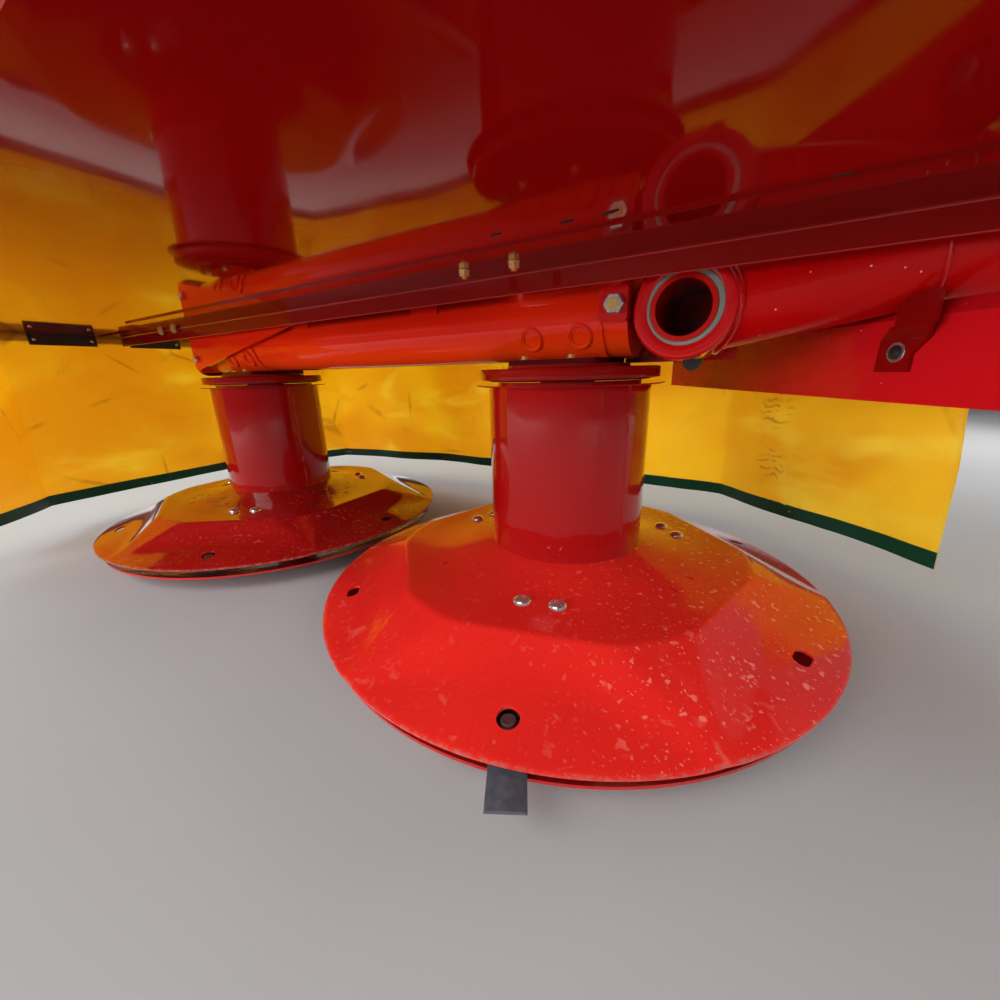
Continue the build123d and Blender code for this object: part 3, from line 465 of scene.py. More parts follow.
def disc_paint(name, x, base, shade, coat, haze, spots, near_drum_darkening):
    """Bright enamel with dried drops, dark patches that grow towards the drum and a scuffed rim."""
    n = Nodes(name)
    n.put(Coat_Weight=1.0, Coat_Roughness=haze, Coat_IOR=coat, Specular_IOR_Level=0.15)
    radius = n.radius(x, 0.0, None)
    tone = n.mix(n.ramp(n.noise(3, 2.0), 0.35, 0.7), base, shade)
    inner = n.ramp(n.math("SUBTRACT", n.along(-0.88, -0.47, 0.0), -0.88 * x), -0.10, 0.16, 0.12, 1.0)
    where = n.math("MULTIPLY", n.ramp(n.noise(9, 3.0), 0.36, 0.60), inner)
    drops = n.ramp(n.noise(90, 1.0, 0.4, None, 0.3), 0.64, 0.72)
    drops = n.math("MULTIPLY", n.math("MULTIPLY", drops, where), spots)
    tone = n.mix(drops, tone, (0.78, 0.20, 0.15))
    fine = n.math("MULTIPLY", n.ramp(n.noise(210, 1.5, 0.5), 0.66, 0.74, 0.0, 0.7 * spots), inner)
    tone = n.mix(fine, tone, (0.80, 0.24, 0.17))
    blots = n.ramp(n.noise(48, 2.0, 0.5, None, 0.5), 0.60, 0.74, 0.0, 0.30 * spots)
    tone = n.mix(n.math("MULTIPLY", blots, n.ramp(radius, 0.33, 0.42)), tone, (0.80, 0.22, 0.16))
    # Dark patches that thin out away from the drum.
    near = n.ramp(radius, 0.14, 0.33, 1.0, 0.0)
    near_drum_dark = n.math("MULTIPLY", n.ramp(n.noise(24, 6.0, 0.7, None, 1.2), 0.50, 0.66), near)
    near_drum_dark = n.math("MULTIPLY", near_drum_dark, near_drum_darkening)
    tone = n.mix(near_drum_dark, tone, (0.05, 0.020, 0.010))
    rim = n.ramp(radius, 0.4262, 0.4296)
    scuff = n.math("MULTIPLY", rim, n.ramp(n.noise(110, 4.0, 0.7), 0.44, 0.66, 0.05, 0.8))
    tone = n.mix(scuff, tone, (0.42, 0.12, 0.09))
    n.link(tone, n.shader.inputs["Base Color"])
    dull = n.math("ADD", n.math("MULTIPLY", n.math("MAXIMUM", drops, near_drum_dark), 0.3), 0.16)
    n.link(n.math("ADD", dull, n.math("MULTIPLY", rim, 0.2)), n.shader.inputs["Roughness"])
    n.bump((n.noise(6, 1.0), 0.002, 0.4), (n.noise(260, 2.0), 0.00003, 0.6))
    return n.material


def beam_paint():
    """Orange-red enamel with a painted orange reflection of the yellow curtain on its lower half, and painted
    shadow on the saddles' feet.
    """
    n = paint("beam_enamel", (0.72, 0.018, 0.003), (0.62, 0.010, 0.002), 0.10, 0.0002, 0.05, 1.22)
    height = n.along(0.0, 0.0, 1.0)
    # Painted reflection: the lower half of the beam turns more orange, standing in for the yellow curtain
    # seen in its coat.
    n.cover(n.ramp(height, BEAM_Z - 0.045, BEAM_Z - 0.005, 0.8, 0.0), (0.80, 0.055, 0.004), 1.0)
    # Painted shadow: the lowest 7.5 mm of the saddles' feet go near black and lose most of their coat,
    # standing for the shaded gap between saddle and cap.
    foot_shadow = n.ramp(height, SADDLE_LOW + 0.0075, SADDLE_LOW + 0.0085, 1.0, 0.0)
    return n.cover(foot_shadow, (0.07, 0.002, 0.002), 0.4).material


def bore_paint():
    """The same enamel, dull in the pivot's bore and darkened there as painted shade."""
    n = paint("bore_enamel", (0.46, 0.007, 0.003), (0.38, 0.004, 0.003), 0.10, 0.0002, 0.05, 1.25)
    away = n.radius(HUB_X, None, BEAM_Z)
    # Painted shade: the bore's wall is darkened and its coat removed.
    inside = n.ramp(away, PIVOT_BORE_R + 0.0002, PIVOT_BORE_R + 0.0008, 1.0, 0.0)
    return n.cover(inside, (0.24, 0.002, 0.002)).material


def deck_paint():
    """Enamel darkened as painted shade under the deck, a mirror at the outer end and duller near the hub."""
    # Painted shade: the base is a darker copy of the frame's red.
    n = paint("deck_enamel", (0.31, 0.002, 0.002), (0.26, 0.002, 0.002), 0.05, 0.0003, 0.03, 1.42)
    n.link(n.ramp(n.along(1.0, 0.15, 0.0), -0.20, 0.70, 0.10, 1.0), n.shader.inputs["Coat Weight"])
    return n.material


def metal(name, base, shade, rough, metallic=1.0, scale=60.0):
    n = Nodes(name)
    n.put(Metallic=metallic)
    tone = n.mix(n.ramp(n.noise(scale, 4.0, 0.6), 0.35, 0.7), base, shade)
    n.link(tone, n.shader.inputs["Base Color"])
    dull = n.ramp(n.noise(scale * 2, 3.0), 0.3, 0.7, rough * 0.7, rough * 1.3)
    n.link(dull, n.shader.inputs["Roughness"])
    n.bump((n.noise(scale * 5, 3.0), 0.0001, 0.4))
    return n.material


def plastic(name, base, shade, rough=0.45, dust=0.12):
    n = Nodes(name)
    tone = n.mix(n.ramp(n.noise(20, 3.0), 0.35, 0.7), base, shade)
    tone = n.mix(n.ramp(n.noise(200, 4.0, 0.7), 0.5, 0.8, 0.0, dust), tone, (0.35, 0.30, 0.24))
    n.link(tone, n.shader.inputs["Base Color"])
    n.link(n.ramp(n.noise(40, 3.0), 0.3, 0.7, rough * 0.8, rough * 1.2), n.shader.inputs["Roughness"])
    n.bump((n.noise(700, 2.0), 0.00005, 0.5))
    return n.material


def tarpaulin(name, base, shade, pale, stain_and_crease_shade, glow):
    """Coated woven sheet with creases, faint stain marks, painted light and shade of broad wrinkles and
    painted shade in the creases, lit through from behind.
    """
    n = Nodes(name)
    n.put(Specular_IOR_Level=0.4)
    # Painted shade: broad darker tones stand for the shaded sides of wide wrinkles.
    tone = n.mix(n.ramp(n.noise(2.4, 2.0, 0.4, (1, 1, 1.5), 0.3), 0.42, 0.66), base, shade)
    # Painted highlight: pale patches stand for the lit sides of the wrinkles.
    wrinkle_highlight = n.ramp(n.noise(3.6, 3.0, 0.5, (1, 1, 2.4), 0.4), 0.52, 0.72, 0.0, 0.8)
    tone = n.mix(wrinkle_highlight, tone, pale)
    streak = n.ramp(n.noise(11, 5.0, 0.75, (1, 1, 0.35), 1.6), 0.60, 0.76, 0.0, stain_and_crease_shade)
    tone = n.mix(streak, tone, (0.42, 0.22, 0.03))
    creases = n.creases(2.6)
    # Painted shade: the creases are darkened along their lines.
    tone = n.mix(n.math("MULTIPLY", creases, stain_and_crease_shade), tone, (0.45, 0.24, 0.03))
    for centre in STAINS:
        wavy = n.add("ShaderNodeTexWave", wave_type="BANDS", bands_direction="Z")
        wavy.inputs["Scale"].default_value = 19
        wavy.inputs["Distortion"].default_value = 9.0
        wavy.inputs["Detail"].default_value = 1.5
        wavy.inputs["Detail Scale"].default_value = 1.6
        n.link(n.coords, wavy.inputs["Vector"])
        lines = n.ramp(wavy.outputs["Fac"], 0.55, 0.9)
        broken = n.ramp(n.noise(45, 2.0), 0.40, 0.58)
        patch = n.math("MULTIPLY", n.ramp(n.radius(*centre), 0.025, 0.058, stain_and_crease_shade * 1.4, 0.0), broken)
        tone = n.mix(n.math("MULTIPLY", lines, patch), tone, (0.36, 0.18, 0.02))
    n.link(tone, n.shader.inputs["Base Color"])
    n.link(n.ramp(n.noise(12, 4.0), 0.3, 0.75, 0.32, 0.50), n.shader.inputs["Roughness"])
    weave = n.add("ShaderNodeTexWave", wave_type="BANDS", bands_direction="Z")
    weave.inputs["Scale"].default_value = 160
    n.link(n.coords, weave.inputs["Vector"])
    n.bump(
        (n.noise(3.4, 2.0, 0.4, (1, 1, 1.7), 0.4), 0.040, 0.7),
        (n.noise(13, 3.0, 0.5, None, 0.5), 0.004, 0.5),
        (creases, 0.0030, 0.8),
        (weave.outputs["Fac"], 0.00006, 0.35))
    through = n.add("ShaderNodeBsdfTranslucent")
    n.link(tone, through.inputs["Color"])
    both = n.add("ShaderNodeMixShader")
    both.inputs["Fac"].default_value = glow
    n.link(n.shader.outputs["BSDF"], both.inputs[1])
    n.link(through.outputs["BSDF"], both.inputs[2])
    n.link(both.outputs["Shader"], n.tree.nodes["Material Output"].inputs["Surface"])
    return n.material


# Enamels: base and shade, then roughness, wave, dust, coat index, chips and ripple

ENAMELS = {
    "frame_red": ((0.50, 0.003, 0.003), (0.42, 0.002, 0.002), 0.10, 0.0004, 0.10, 1.36),
    "hub_red": ((0.50, 0.003, 0.004), (0.44, 0.003, 0.003), 0.08, 0.0003, 0.05, 1.38, 0.5),
    "arm_red": ((0.52, 0.002, 0.002), (0.42, 0.002, 0.002), 0.16, 0.0003, 0.06, 1.12, 1.0),
    # Deflector's red, brighter than the frame's: painted light on a face the lamps leave dim.
    "plate_red": ((0.62, 0.007, 0.012), (0.50, 0.005, 0.009), 0.20, 0.0004, 0.06, 1.10, 0.6),
    # Strap's red, darkened as painted shade under the arm.
    "strap_red": ((0.24, 0.003, 0.003), (0.18, 0.002, 0.002), 0.12, 0.0002, 0.04, 1.16),
    # Rail's red, darkened as painted shade under the deck.
    "rail_red": ((0.21, 0.003, 0.002), (0.17, 0.002, 0.002), 0.06, 0.0002, 0.02, 1.08),
    # Paler pink-red of the rail's bend and rolled edge: a painted highlight.
    "edge_red": ((0.34, 0.020, 0.016), (0.22, 0.008, 0.006), 0.06, 0.0002, 0.02, 1.30),
    # Cap's red, darkened as painted shade under the beam and deck.
    "cap_red": ((0.26, 0.004, 0.002), (0.20, 0.003, 0.002), 0.06, 0.0003, 0.03, 1.16),
    # Drum's red, darker than the frame's as painted shade under the deck.
    "drum_red": ((0.35, 0.004, 0.004), (0.29, 0.003, 0.003), 0.07, 0.0002, 0.04, 1.32, 0.0, 0.005),
    "saucer_red": ((0.55, 0.012, 0.012), (0.42, 0.008, 0.008), 0.2, 0.0004, 0.2),
}
METALS = {
    "zinc": ((0.85, 0.56, 0.20), (0.66, 0.42, 0.17), 0.24, 0.7),
    "pale_zinc": ((0.78, 0.76, 0.70), (0.66, 0.64, 0.58), 0.24, 0.9),
    "dome_zinc": ((0.86, 0.86, 0.86), (0.74, 0.74, 0.74), 0.16, 0.92),
    "bright_steel": ((0.60, 0.60, 0.60), (0.48, 0.48, 0.48), 0.25),
    "dark_steel": ((0.045, 0.045, 0.050), (0.075, 0.070, 0.070), 0.42, 0.7),
    "knife_steel": ((0.085, 0.100, 0.120), (0.120, 0.135, 0.155), 0.50, 0.4),
    "pin_steel": ((0.055, 0.022, 0.020), (0.085, 0.040, 0.036), 0.55, 0.2),
}
PLASTICS = {
    "grey_plastic": ((0.22, 0.22, 0.20), (0.17, 0.17, 0.155), 0.4),
    "black_plastic": ((0.018, 0.018, 0.019), (0.030, 0.030, 0.030)),
    "black_rubber": ((0.012, 0.011, 0.011), (0.020, 0.018, 0.017), 0.6),
}
# Tarpaulins: base, painted wrinkle shade, painted wrinkle highlight, strength of stain marks and of painted
# crease shade, share lit through from behind
TARPAULINS = {
    "yellow_sheet": ((0.98, 0.72, 0.045), (0.92, 0.58, 0.028), (1.0, 0.84, 0.12), 0.30, 0.45),
    "green_hem": ((0.002, 0.060, 0.026), (0.002, 0.044, 0.019), (0.005, 0.08, 0.04), 0.0, 0.1),
}
DISCS = {
    "inner": ((0.68, 0.020, 0.013), (0.59, 0.015, 0.011), 1.38, 0.10, 0.8, 0.12),
    # Outer disc: a darker copy of the disc's red, painted shade for a disc less lit.
    "outer": ((0.30, 0.006, 0.005), (0.25, 0.005, 0.004), 1.75, 0.05, 0.25, 1.0),
}
MATERIALS = {"beam_red": beam_paint(), "plate_bore": bore_paint(), "deck_red": deck_paint()}
for name, looks in ENAMELS.items():
    MATERIALS[name] = paint(name, *looks).material
for name, looks in DISCS.items():
    MATERIALS[f"disc_{name}"] = disc_paint(f"disc_{name}", DRUM_XS[name], *looks)
for make, rows in ((metal, METALS), (plastic, PLASTICS), (tarpaulin, TARPAULINS)):
    for name, looks in rows.items():
        MATERIALS[name] = make(name, *looks)


def wear(piece, material):
    piece.data.materials.clear()
    piece.data.materials.append(MATERIALS[material])


# Mesh building

def between_rings(bands, count):
    """Faces that join each ring of points to the next."""
    faces = []
    for ring in range(bands):
        for i in range(count):
            a = ring * count + i
            b = ring * count + (i + 1) % count
            faces.append((a, b, b + count, a + count))
    return faces


class Shape:
    """Vertices and faces of one piece, gathered from several forms."""

    def __init__(self):
        self.points = []
        self.faces = []

    def add(self, points, faces, move=None):
        start = len(self.points)
        for point in points:
            self.points.append(tuple(move @ Vector(point)) if move else tuple(point))
        self.faces += [tuple(start + i for i in face) for face in faces]
        return self

    def lathe(self, profile, count=64, move=None, closed=True, wobble=None):
        """Turns (radius, height) pairs about Z. A closed profile comes back to its start."""
        points = []
        for step in range(count):
            turn = 2 * pi * step / count
            for index, (radius, height) in enumerate(profile):
                reach = radius + (wobble(turn, height, index) if wobble else 0.0)
                points.append((reach * cos(turn), reach * sin(turn), height))
        size = len(profile)
        last = size if closed else size - 1
        faces = []
        for step in range(count):
            here = step * size
            there = (step + 1) % count * size
            for i in range(last):
                j = (i + 1) % size
                faces.append((here + i, there + i, there + j, here + j))
        return self.add(points, faces, move)

    def cylinder(self, radius, low, high, count=48, move=None, edge=0.0):
        """Round bar along Z with broken edges."""
        rings = [(radius - edge, low), (radius, low + edge), (radius, high - edge), (radius - edge, high)]
        turns = [2 * pi * i / count for i in range(count)]
        points = [(reach * cos(turn), reach * sin(turn), height) for reach, height in rings for turn in turns]
        faces = [tuple(reversed(range(count))), tuple(range(3 * count, 4 * count))]
        return self.add(points, faces + between_rings(3, count), move)

    def prism(self, outline, low, high, move=None):
        count = len(outline)
        points = [(x, y, low) for x, y in outline] + [(x, y, high) for x, y in outline]
        faces = [tuple(reversed(range(count))), tuple(range(count, 2 * count))]
        for i in range(count):
            j = (i + 1) % count
            faces.append((i, j, count + j, count + i))
        return self.add(points, faces, move)

    def grid(self, columns, rows, where, flip=False):
        """Open sheet of columns by rows cells, its points given by where(column, row)."""
        points = [where(c, r) for r in range(rows + 1) for c in range(columns + 1)]
        wide = columns + 1
        faces = []
        for r in range(rows):
            for c in range(columns):
                face = (r * wide + c, r * wide + c + 1, (r + 1) * wide + c + 1, (r + 1) * wide + c)
                faces.append(face[::-1] if flip else face)
        return self.add(points, faces)

    def piece(self, name, material, body, smooth=35.0):
        mesh = bpy.data.meshes.new(name)
        mesh.from_pydata(self.points, [], self.faces)
        work = bmesh.new()
        work.from_mesh(mesh)
        bmesh.ops.recalc_face_normals(work, faces=work.faces)
        work.to_mesh(mesh)
        work.free()
        mesh.validate()
        piece = bpy.data.objects.new(name, mesh)
        bpy.context.collection.objects.link(piece)
        soften(piece, smooth)
        wear(piece, material)
        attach(piece, body)
        return piece


def soften(piece, angle):
    """Smooth shading with sharp edges past the angle."""
    piece.data.shade_smooth()
    work = bmesh.new()
    work.from_mesh(piece.data)
    for edge in work.edges:
        if len(edge.link_faces) == 2:
            edge.smooth = edge.calc_face_angle(0.0) < radians(angle)
    work.to_mesh(piece.data)
    work.free()


def smooth_shading():
    """Node group that shades a mesh smooth and keeps edges past 30 degrees sharp."""
    tree = bpy.data.node_groups.new("smooth_shading", "GeometryNodeTree")
    tree.interface.new_socket("Geometry", in_out="INPUT", socket_type="NodeSocketGeometry")
    tree.interface.new_socket("Geometry", in_out="OUTPUT", socket_type="NodeSocketGeometry")
    start = tree.nodes.new("NodeGroupInput")
    merge = tree.nodes.new("GeometryNodeMergeByDistance")
    merge.inputs["Distance"].default_value = 0.000001
    soft = tree.nodes.new("GeometryNodeSetShadeSmooth")
    soft.domain = "FACE"
    hard = tree.nodes.new("GeometryNodeSetShadeSmooth")
    hard.domain = "EDGE"
    hard.inputs["Shade Smooth"].default_value = False
    angle = tree.nodes.new("GeometryNodeInputMeshEdgeAngle")
    past = tree.nodes.new("ShaderNodeMath")
    past.operation = "GREATER_THAN"
    past.inputs[1].default_value = radians(30)
    end = tree.nodes.new("NodeGroupOutput")
    for source, target in (
        (start.outputs[0], merge.inputs["Geometry"]),
        (merge.outputs["Geometry"], soft.inputs["Geometry"]),
        (soft.outputs["Geometry"], hard.inputs["Geometry"]),
        (angle.outputs["Unsigned Angle"], past.inputs[0]),
        (past.outputs[0], hard.inputs["Selection"]),
        (hard.outputs["Geometry"], end.inputs[0]),
    ):
        tree.links.new(source, target)
    return tree


def along_x(x, y=0.0, z=0.0):
    """Turns +Z to +X and moves there."""
    return Matrix.Translation((x, y, z)) @ Matrix.Rotation(pi / 2, 4, "Y")


def along_y(x, y, z):
    """Turns +Z to +Y and moves there."""
    return Matrix.Translation((x, y, z)) @ Matrix.Rotation(-pi / 2, 4, "X")


def facing(at, axis):
    """Turns +Z to a direction and moves there."""
    turned = Vector(axis).to_track_quat("Z", "Y").to_matrix().to_4x4()
    return Matrix.Translation(at) @ turned


def hexagon(across):
    reach = across / 2 / cos(pi / 6)
    return [(reach * cos(pi / 3 * i), reach * sin(pi / 3 * i)) for i in range(6)]


def hex_head(shape, across, height, at, axis, washer=True):
    """Hexagon head or nut with a chamfered top on its washer."""
    move = facing(at, axis)
    lift = 0.0
    if washer:
        lift = across * 0.12
        shape.cylinder(across * 0.72, 0.0, lift, 32, move, lift * 0.3)
    outline = hexagon(across)
    shape.prism(outline, lift, lift + height * 0.86, move)
    top = [(x * 0.9, y * 0.9) for x, y in outline]
    count = len(outline)
    points = [(x, y, lift + height * 0.86) for x, y in outline] + [(x, y, lift + height) for x, y in top]
    faces = [tuple(range(count, 2 * count))]
    faces += [(i, (i + 1) % count, count + (i + 1) % count, count + i) for i in range(count)]
    shape.add(points, faces, move)


def stud(shape, radius, length, at, axis):
    """Threaded end that stands out of a nut."""
    pitch = radius * 0.28
    rings = int(length / pitch)
    profile = [(0.0, 0.0)]
    for i in range(rings):
        profile += [(radius * 0.88, i * pitch), (radius, (i + 0.5) * pitch)]
    profile += [(radius * 0.8, rings * pitch), (0.0, rings * pitch)]
    shape.lathe(profile, 20, facing(at, axis), closed=False)


def dome_head(shape, radius, height, at, axis):
    """Round bolt head."""
    profile = [(radius * sin(pi / 2 * i / 8), height * cos(pi / 2 * i / 8)) for i in range(9)]
    profile.append((radius, -height * 0.2))
    shape.lathe(profile, 28, facing(at, axis), closed=False)


# Cutting discs: pressed six-sided domes

def soft_max(a, b, width):
    gap = max(width - abs(a - b), 0.0) / width
    return max(a, b) + gap * gap * width / 4


def soft_min(a, b, width):
    return -soft_max(-a, -b, width)


def disc_height(radius, turn):
    """Top of the pressed disc; turn is counted from a facet's middle."""
    offset = (turn + pi / 6) % (pi / 3) - pi / 6
    facet = DISC_TOP - (radius * cos(offset) - FLAT_R) * FACET_SLOPE
    ridge = DISC_TOP - (radius - RIDGE_R) * RIDGE_SLOPE
    brim = DISC_RIM_Z + (DISC_R - radius) * BRIM_SLOPE
    crown = soft_min(soft_min(facet, ridge, RIDGE_BLEND), DISC_TOP, TOP_BLEND)
    sunk = min(max((DISC_TOP - crown) / EDGE_DEPTH, 0.0), 1.0)
    return soft_max(crown - EDGE_STEP * sunk * sunk * (3 - 2 * sunk), brim, BRIM_BLEND)


def out_along(x, reach, turn):
    """Place at a reach from an upright axis, turned to face outwards."""
    return Matrix.Translation((x + reach * cos(turn), reach * sin(turn), 0)) @ Matrix.Rotation(turn, 4, "Z")


def pressed_sheet(x, base):
    """Sheet of the disc, its top and its underside joined at the rim and at the bore."""
    points = []
    for side in (0.0, DISC_SHEET):
        for step in range(DISC_STEPS):
            turn = 2 * pi * step / DISC_STEPS
            for radius in DISC_RINGS:
                droop = RIM_DROOP * max(0.0, (radius - RIM_FROM_R) / RIM_WIDTH) if side == 0.0 else 0.0
                height = disc_height(radius, turn) - side - droop
                points.append((x + radius * cos(turn + base), radius * sin(turn + base), height))
    size = len(DISC_RINGS)
    under = DISC_STEPS * size
    faces = []
    for step in range(DISC_STEPS):
        here = step * size
        there = (step + 1) % DISC_STEPS * size
        for i in range(size - 1):
            faces.append((here + i, here + i + 1, there + i + 1, there + i))
            faces.append((under + here + i, under + there + i, under + there + i + 1, under + here + i + 1))
        faces.append((here + size - 1, under + here + size - 1, under + there + size - 1, there + size - 1))
        faces.append((here, there, under + there, under + here))
    return Shape().add(points, faces)


def disc_holes(x, base):
    """Bars that cut the round holes over the pins, the ovals between them and the slot pairs."""
    cutters = Shape()
    for station in range(6):
        turn = base + station * pi / 3
        at = out_along(x, HOLE_R, turn)
        if station % 2 == 0:
            cutters.cylinder(ROUND_HOLE_R, CUT_LOW, CUT_HIGH, 40, at)
            continue
        oval = []
        for i in range(40):
            way = 2 * pi * i / 40
            half = OVAL_HALF if sin(way) > 0 else -OVAL_HALF
            oval.append((OVAL_HOLE_R * cos(way), OVAL_HOLE_R * sin(way) + half))
        cutters.prism(oval, CUT_LOW, CUT_HIGH, at)
        slot = [(a * SLOT_HALF_LENGTH, b * SLOT_HALF_WIDTH) for a, b in ((-1, -1), (1, -1), (1, 1), (-1, 1))]
        for side in (-1, 1):
            cutters.prism(slot, SLOT_LOW, CUT_HIGH, out_along(x, SLOT_AT_R, turn + side * PAIR_TURN))
    return cutters


def cutting_disc(name):
    x = DRUM_XS[name]
    base = DISC_TURN[name]
    disc = pressed_sheet(x, base).piece(f"pressed_disc_{name}", f"disc_{name}", f"drum_{name}", 25.0)
    cutters = disc_holes(x, base)
    mesh = bpy.data.meshes.new("cut")
    mesh.from_pydata(cutters.points, [], cutters.faces)
    tool = bpy.data.objects.new("cut", mesh)
    bpy.context.collection.objects.link(tool)
    cut = disc.modifiers.new("holes", "BOOLEAN")
    cut.object = tool
    cut.solver = "EXACT"
    apply_modifiers(disc)
    bpy.data.objects.remove(tool)
    soften(disc, 25.0)
    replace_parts(disc, f"disc_{name}")
    hub = Shape()
    move = Matrix.Translation((x, 0, 0))
    hub.cylinder(DISC_HUB_R, DISC_HUB_LOW, DISC_HUB_TOP, 64, move, 0.002)
    hub.cylinder(AXLE_R, AXLE_LOW, DISC_RIM_Z, 48, move, 0.001)
    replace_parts(hub.piece(f"disc_axle_{name}", "dark_steel", f"drum_{name}"), f"disc_{name}")
    bolts = Shape()
    pins = Shape()
    for station in range(3):
        middle = base + station * 2 * pi / 3
        for side in (-1, 1):
            turn = middle + side * PAIR_TURN
            at = (x + DOME_AT_R * cos(turn), DOME_AT_R * sin(turn), DISC_TOP + DOME_LIFT)
            dome_head(bolts, DOME_R, DOME_HEIGHT, at, (0, 0, 1))
        move = Matrix.Translation((x + HOLE_R * cos(middle), HOLE_R * sin(middle), 0))
        pins.cylinder(PIN_HEAD_R, PIN_HEAD_LOW, PIN_HEAD_TOP, 40, move, 0.0006)
    bolts.piece(f"dome_bolts_{name}", "dome_zinc", f"drum_{name}")
    pins.piece(f"pin_heads_{name}", "pin_steel", f"drum_{name}")


def apply_modifiers(piece):
    graph = bpy.context.evaluated_depsgraph_get()
    graph.update()
    mesh = bpy.data.meshes.new_from_object(piece.evaluated_get(graph))
    piece.modifiers.clear()
    old = piece.data
    piece.data = mesh
    bpy.data.meshes.remove(old)


# Drums with their seams and lips, caps and saucers

def drum(name):
    x = DRUM_XS[name]
    first = pi + SEAM_TURN + DISC_TURN[name] - DISC_TURN["inner"]
    seams = (first, first + pi)

    def wobble(turn, height, index):
        """Seam plates with a bead along their edges, on the shell's outer rows only."""
        if index > DRUM_ROWS:
            return 0.0
        proud = 0.0
        for seam in seams:
            away = abs((turn - seam + pi) % (2 * pi) - pi)
            edge = SEAM_WIDTH + SEAM_WANDER * noise.noise((0, seam * 7, height * 90))
            rise = min(max((edge - away) / SEAM_RISE + 0.5, 0.0), 1.0)
            grain = 0.6 + noise.noise((seam, 5.0, height * 260))
            bead = exp(-((away - edge) / BEAD_WIDTH) ** 2) * BEAD_PROUD * max(grain, 0.2)
            lumps = noise.noise((seam, turn * 60, height * 160)) * SEAM_LUMPS * rise
            proud = max(proud, SEAM_PROUD * rise + bead + lumps)
        return proud

    low = DRUM_LOW + 0.002
    under = DRUM_TOP - LIP_SHEET
    high = under - 0.001
    inside = DRUM_R - DRUM_WALL
    profile = [(DRUM_R, low + (high - low) * i / DRUM_ROWS) for i in range(DRUM_ROWS + 1)] + [
        (DRUM_R + 0.0015, under),
        (LIP_R - 0.0004, under),
        (LIP_R, DRUM_TOP - 0.6 * LIP_SHEET),
        (LIP_R - 0.0004, DRUM_TOP),
        (DRUM_BOSS_R, DRUM_TOP),
        (DRUM_BOSS_R, DRUM_BOSS_TOP),
        (CAP_BORE_R, DRUM_BOSS_TOP),
        (CAP_BORE_R, under),
        (inside, under),
        (inside, DRUM_LOW),
        (DRUM_R + DRUM_FOOT, DRUM_LOW),
    ]
    shape = Shape().lathe(profile, DRUM_STEPS, Matrix.Translation((x, 0, 0)), True, wobble)
    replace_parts(shape.piece(f"drum_shell_{name}", "drum_red", f"drum_{name}", 30.0), f"drum_{name}")


def cap(name):
    x = DRUM_XS[name]
    move = Matrix.Translation((x, 0, 0))
    shape = Shape()
    flange = CAP_TOP - CAP_FLANGE
    profile = [
        (CAP_BORE_R, CAP_LOW + 0.002),
        (CAP_NECK_R - 0.0005, CAP_LOW),
        (CAP_NECK_R, CAP_LOW + 0.0005),
        (CAP_NECK_R, flange),
        (CAP_R - 0.0015, flange),
        (CAP_R - 0.0004, flange + 0.0005),
        (CAP_R, flange + 0.0016),
        (CAP_R, CAP_TOP - 0.0020),
        (CAP_R - 0.0006, CAP_TOP - 0.0008),
        (CAP_R - 0.0020, CAP_TOP),
        (SEAT_R + 0.0015, CAP_TOP),
        (SEAT_R, CAP_TOP + 0.0012),
        (SEAT_R, SADDLE_LOW),
        (CAP_BORE_R, SADDLE_LOW),
    ]
    shape.lathe(profile, 192, move)
    shape.cylinder(CAP_SHAFT_R, CAP_SHAFT_LOW, CAP_TOP, 64, move)
    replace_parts(shape.piece(f"cap_ring_{name}", "cap_red", "cutter", 30.0), f"cap_{name}")


def saucer(name):
    move = Matrix.Translation((DRUM_XS[name], 0, 0))
    top = [(r, z + SAUCER_SHEET) for r, z in SAUCER_LOW[::-1]]
    shape = Shape().lathe(SAUCER_LOW + top, 192, move, closed=False)
    shape.lathe(SAUCER_HUB, 64, move)
    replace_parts(shape.piece(f"skid_saucer_{name}", "saucer_red", f"saucer_{name}", 30.0), f"saucer_{name}")


# Curtains

def skirt_points(step):
    """Points along the skirt: (x, y, distance, way outwards)."""
    rows = []
    travelled = 0.0
    for index in range(len(SKIRT) - 1):
        a = Vector(SKIRT[index])
        b = Vector(SKIRT[index + 1])
        run = (b - a).length
        count = max(int(round(run / step)), 2)
        for i in range(count + (index == len(SKIRT) - 2)):
            rows.append((a.lerp(b, i / count), travelled + run * i / count))
        travelled += run
    points = []
    for index, (at, distance) in enumerate(rows):
        before = rows[max(index - 2, 0)][0]
        after = rows[min(index + 2, len(rows) - 1)][0]
        way = (after - before).normalized()
        points.append((at, distance, Vector((way.y, -way.x))))
    return points, travelled


def billow(distance, drop):
    """How far the hanging sheet stands out from its line, in metres."""
    slack = min(max(drop - HELD_DROP, 0.0) / SLACK_DROP, 1.0)
    wide = noise.noise((distance * 2.3, drop * 1.4, 4.0)) * BILLOW_WIDE
    folds = noise.noise((distance * 6.0, drop * 5.2, 9.0)) * BILLOW_FOLDS
    at = (distance * 5.0, drop * 6.0, 2.0)
    crumple = noise.ridged_multi_fractal(at, 1.0, 2.1, 3, 1.0, 2.0) * BILLOW_CRUMPLE
    return slack * (wide + folds + crumple - BILLOW_MEAN)


def fold_pull(at, drop):
    """Pull that sets the sheet's upright fold beside the skirt's second corner."""
    low = Vector(SKIRT[0])
    corner = Vector(SKIRT[1])
    after = Vector(SKIRT[2])
    share = min(max(drop - HELD_DROP, 0.0) / FOLD_DROP, 1.0)
    if at.x < corner.x:
        run = (at - low).length / (corner - low).length
    else:
        run = max(1.0 - (at - corner).length / (after - corner).length, 0.0) if at.x < after.x else 0.0
    return (FOLD_AT - corner) * run * share


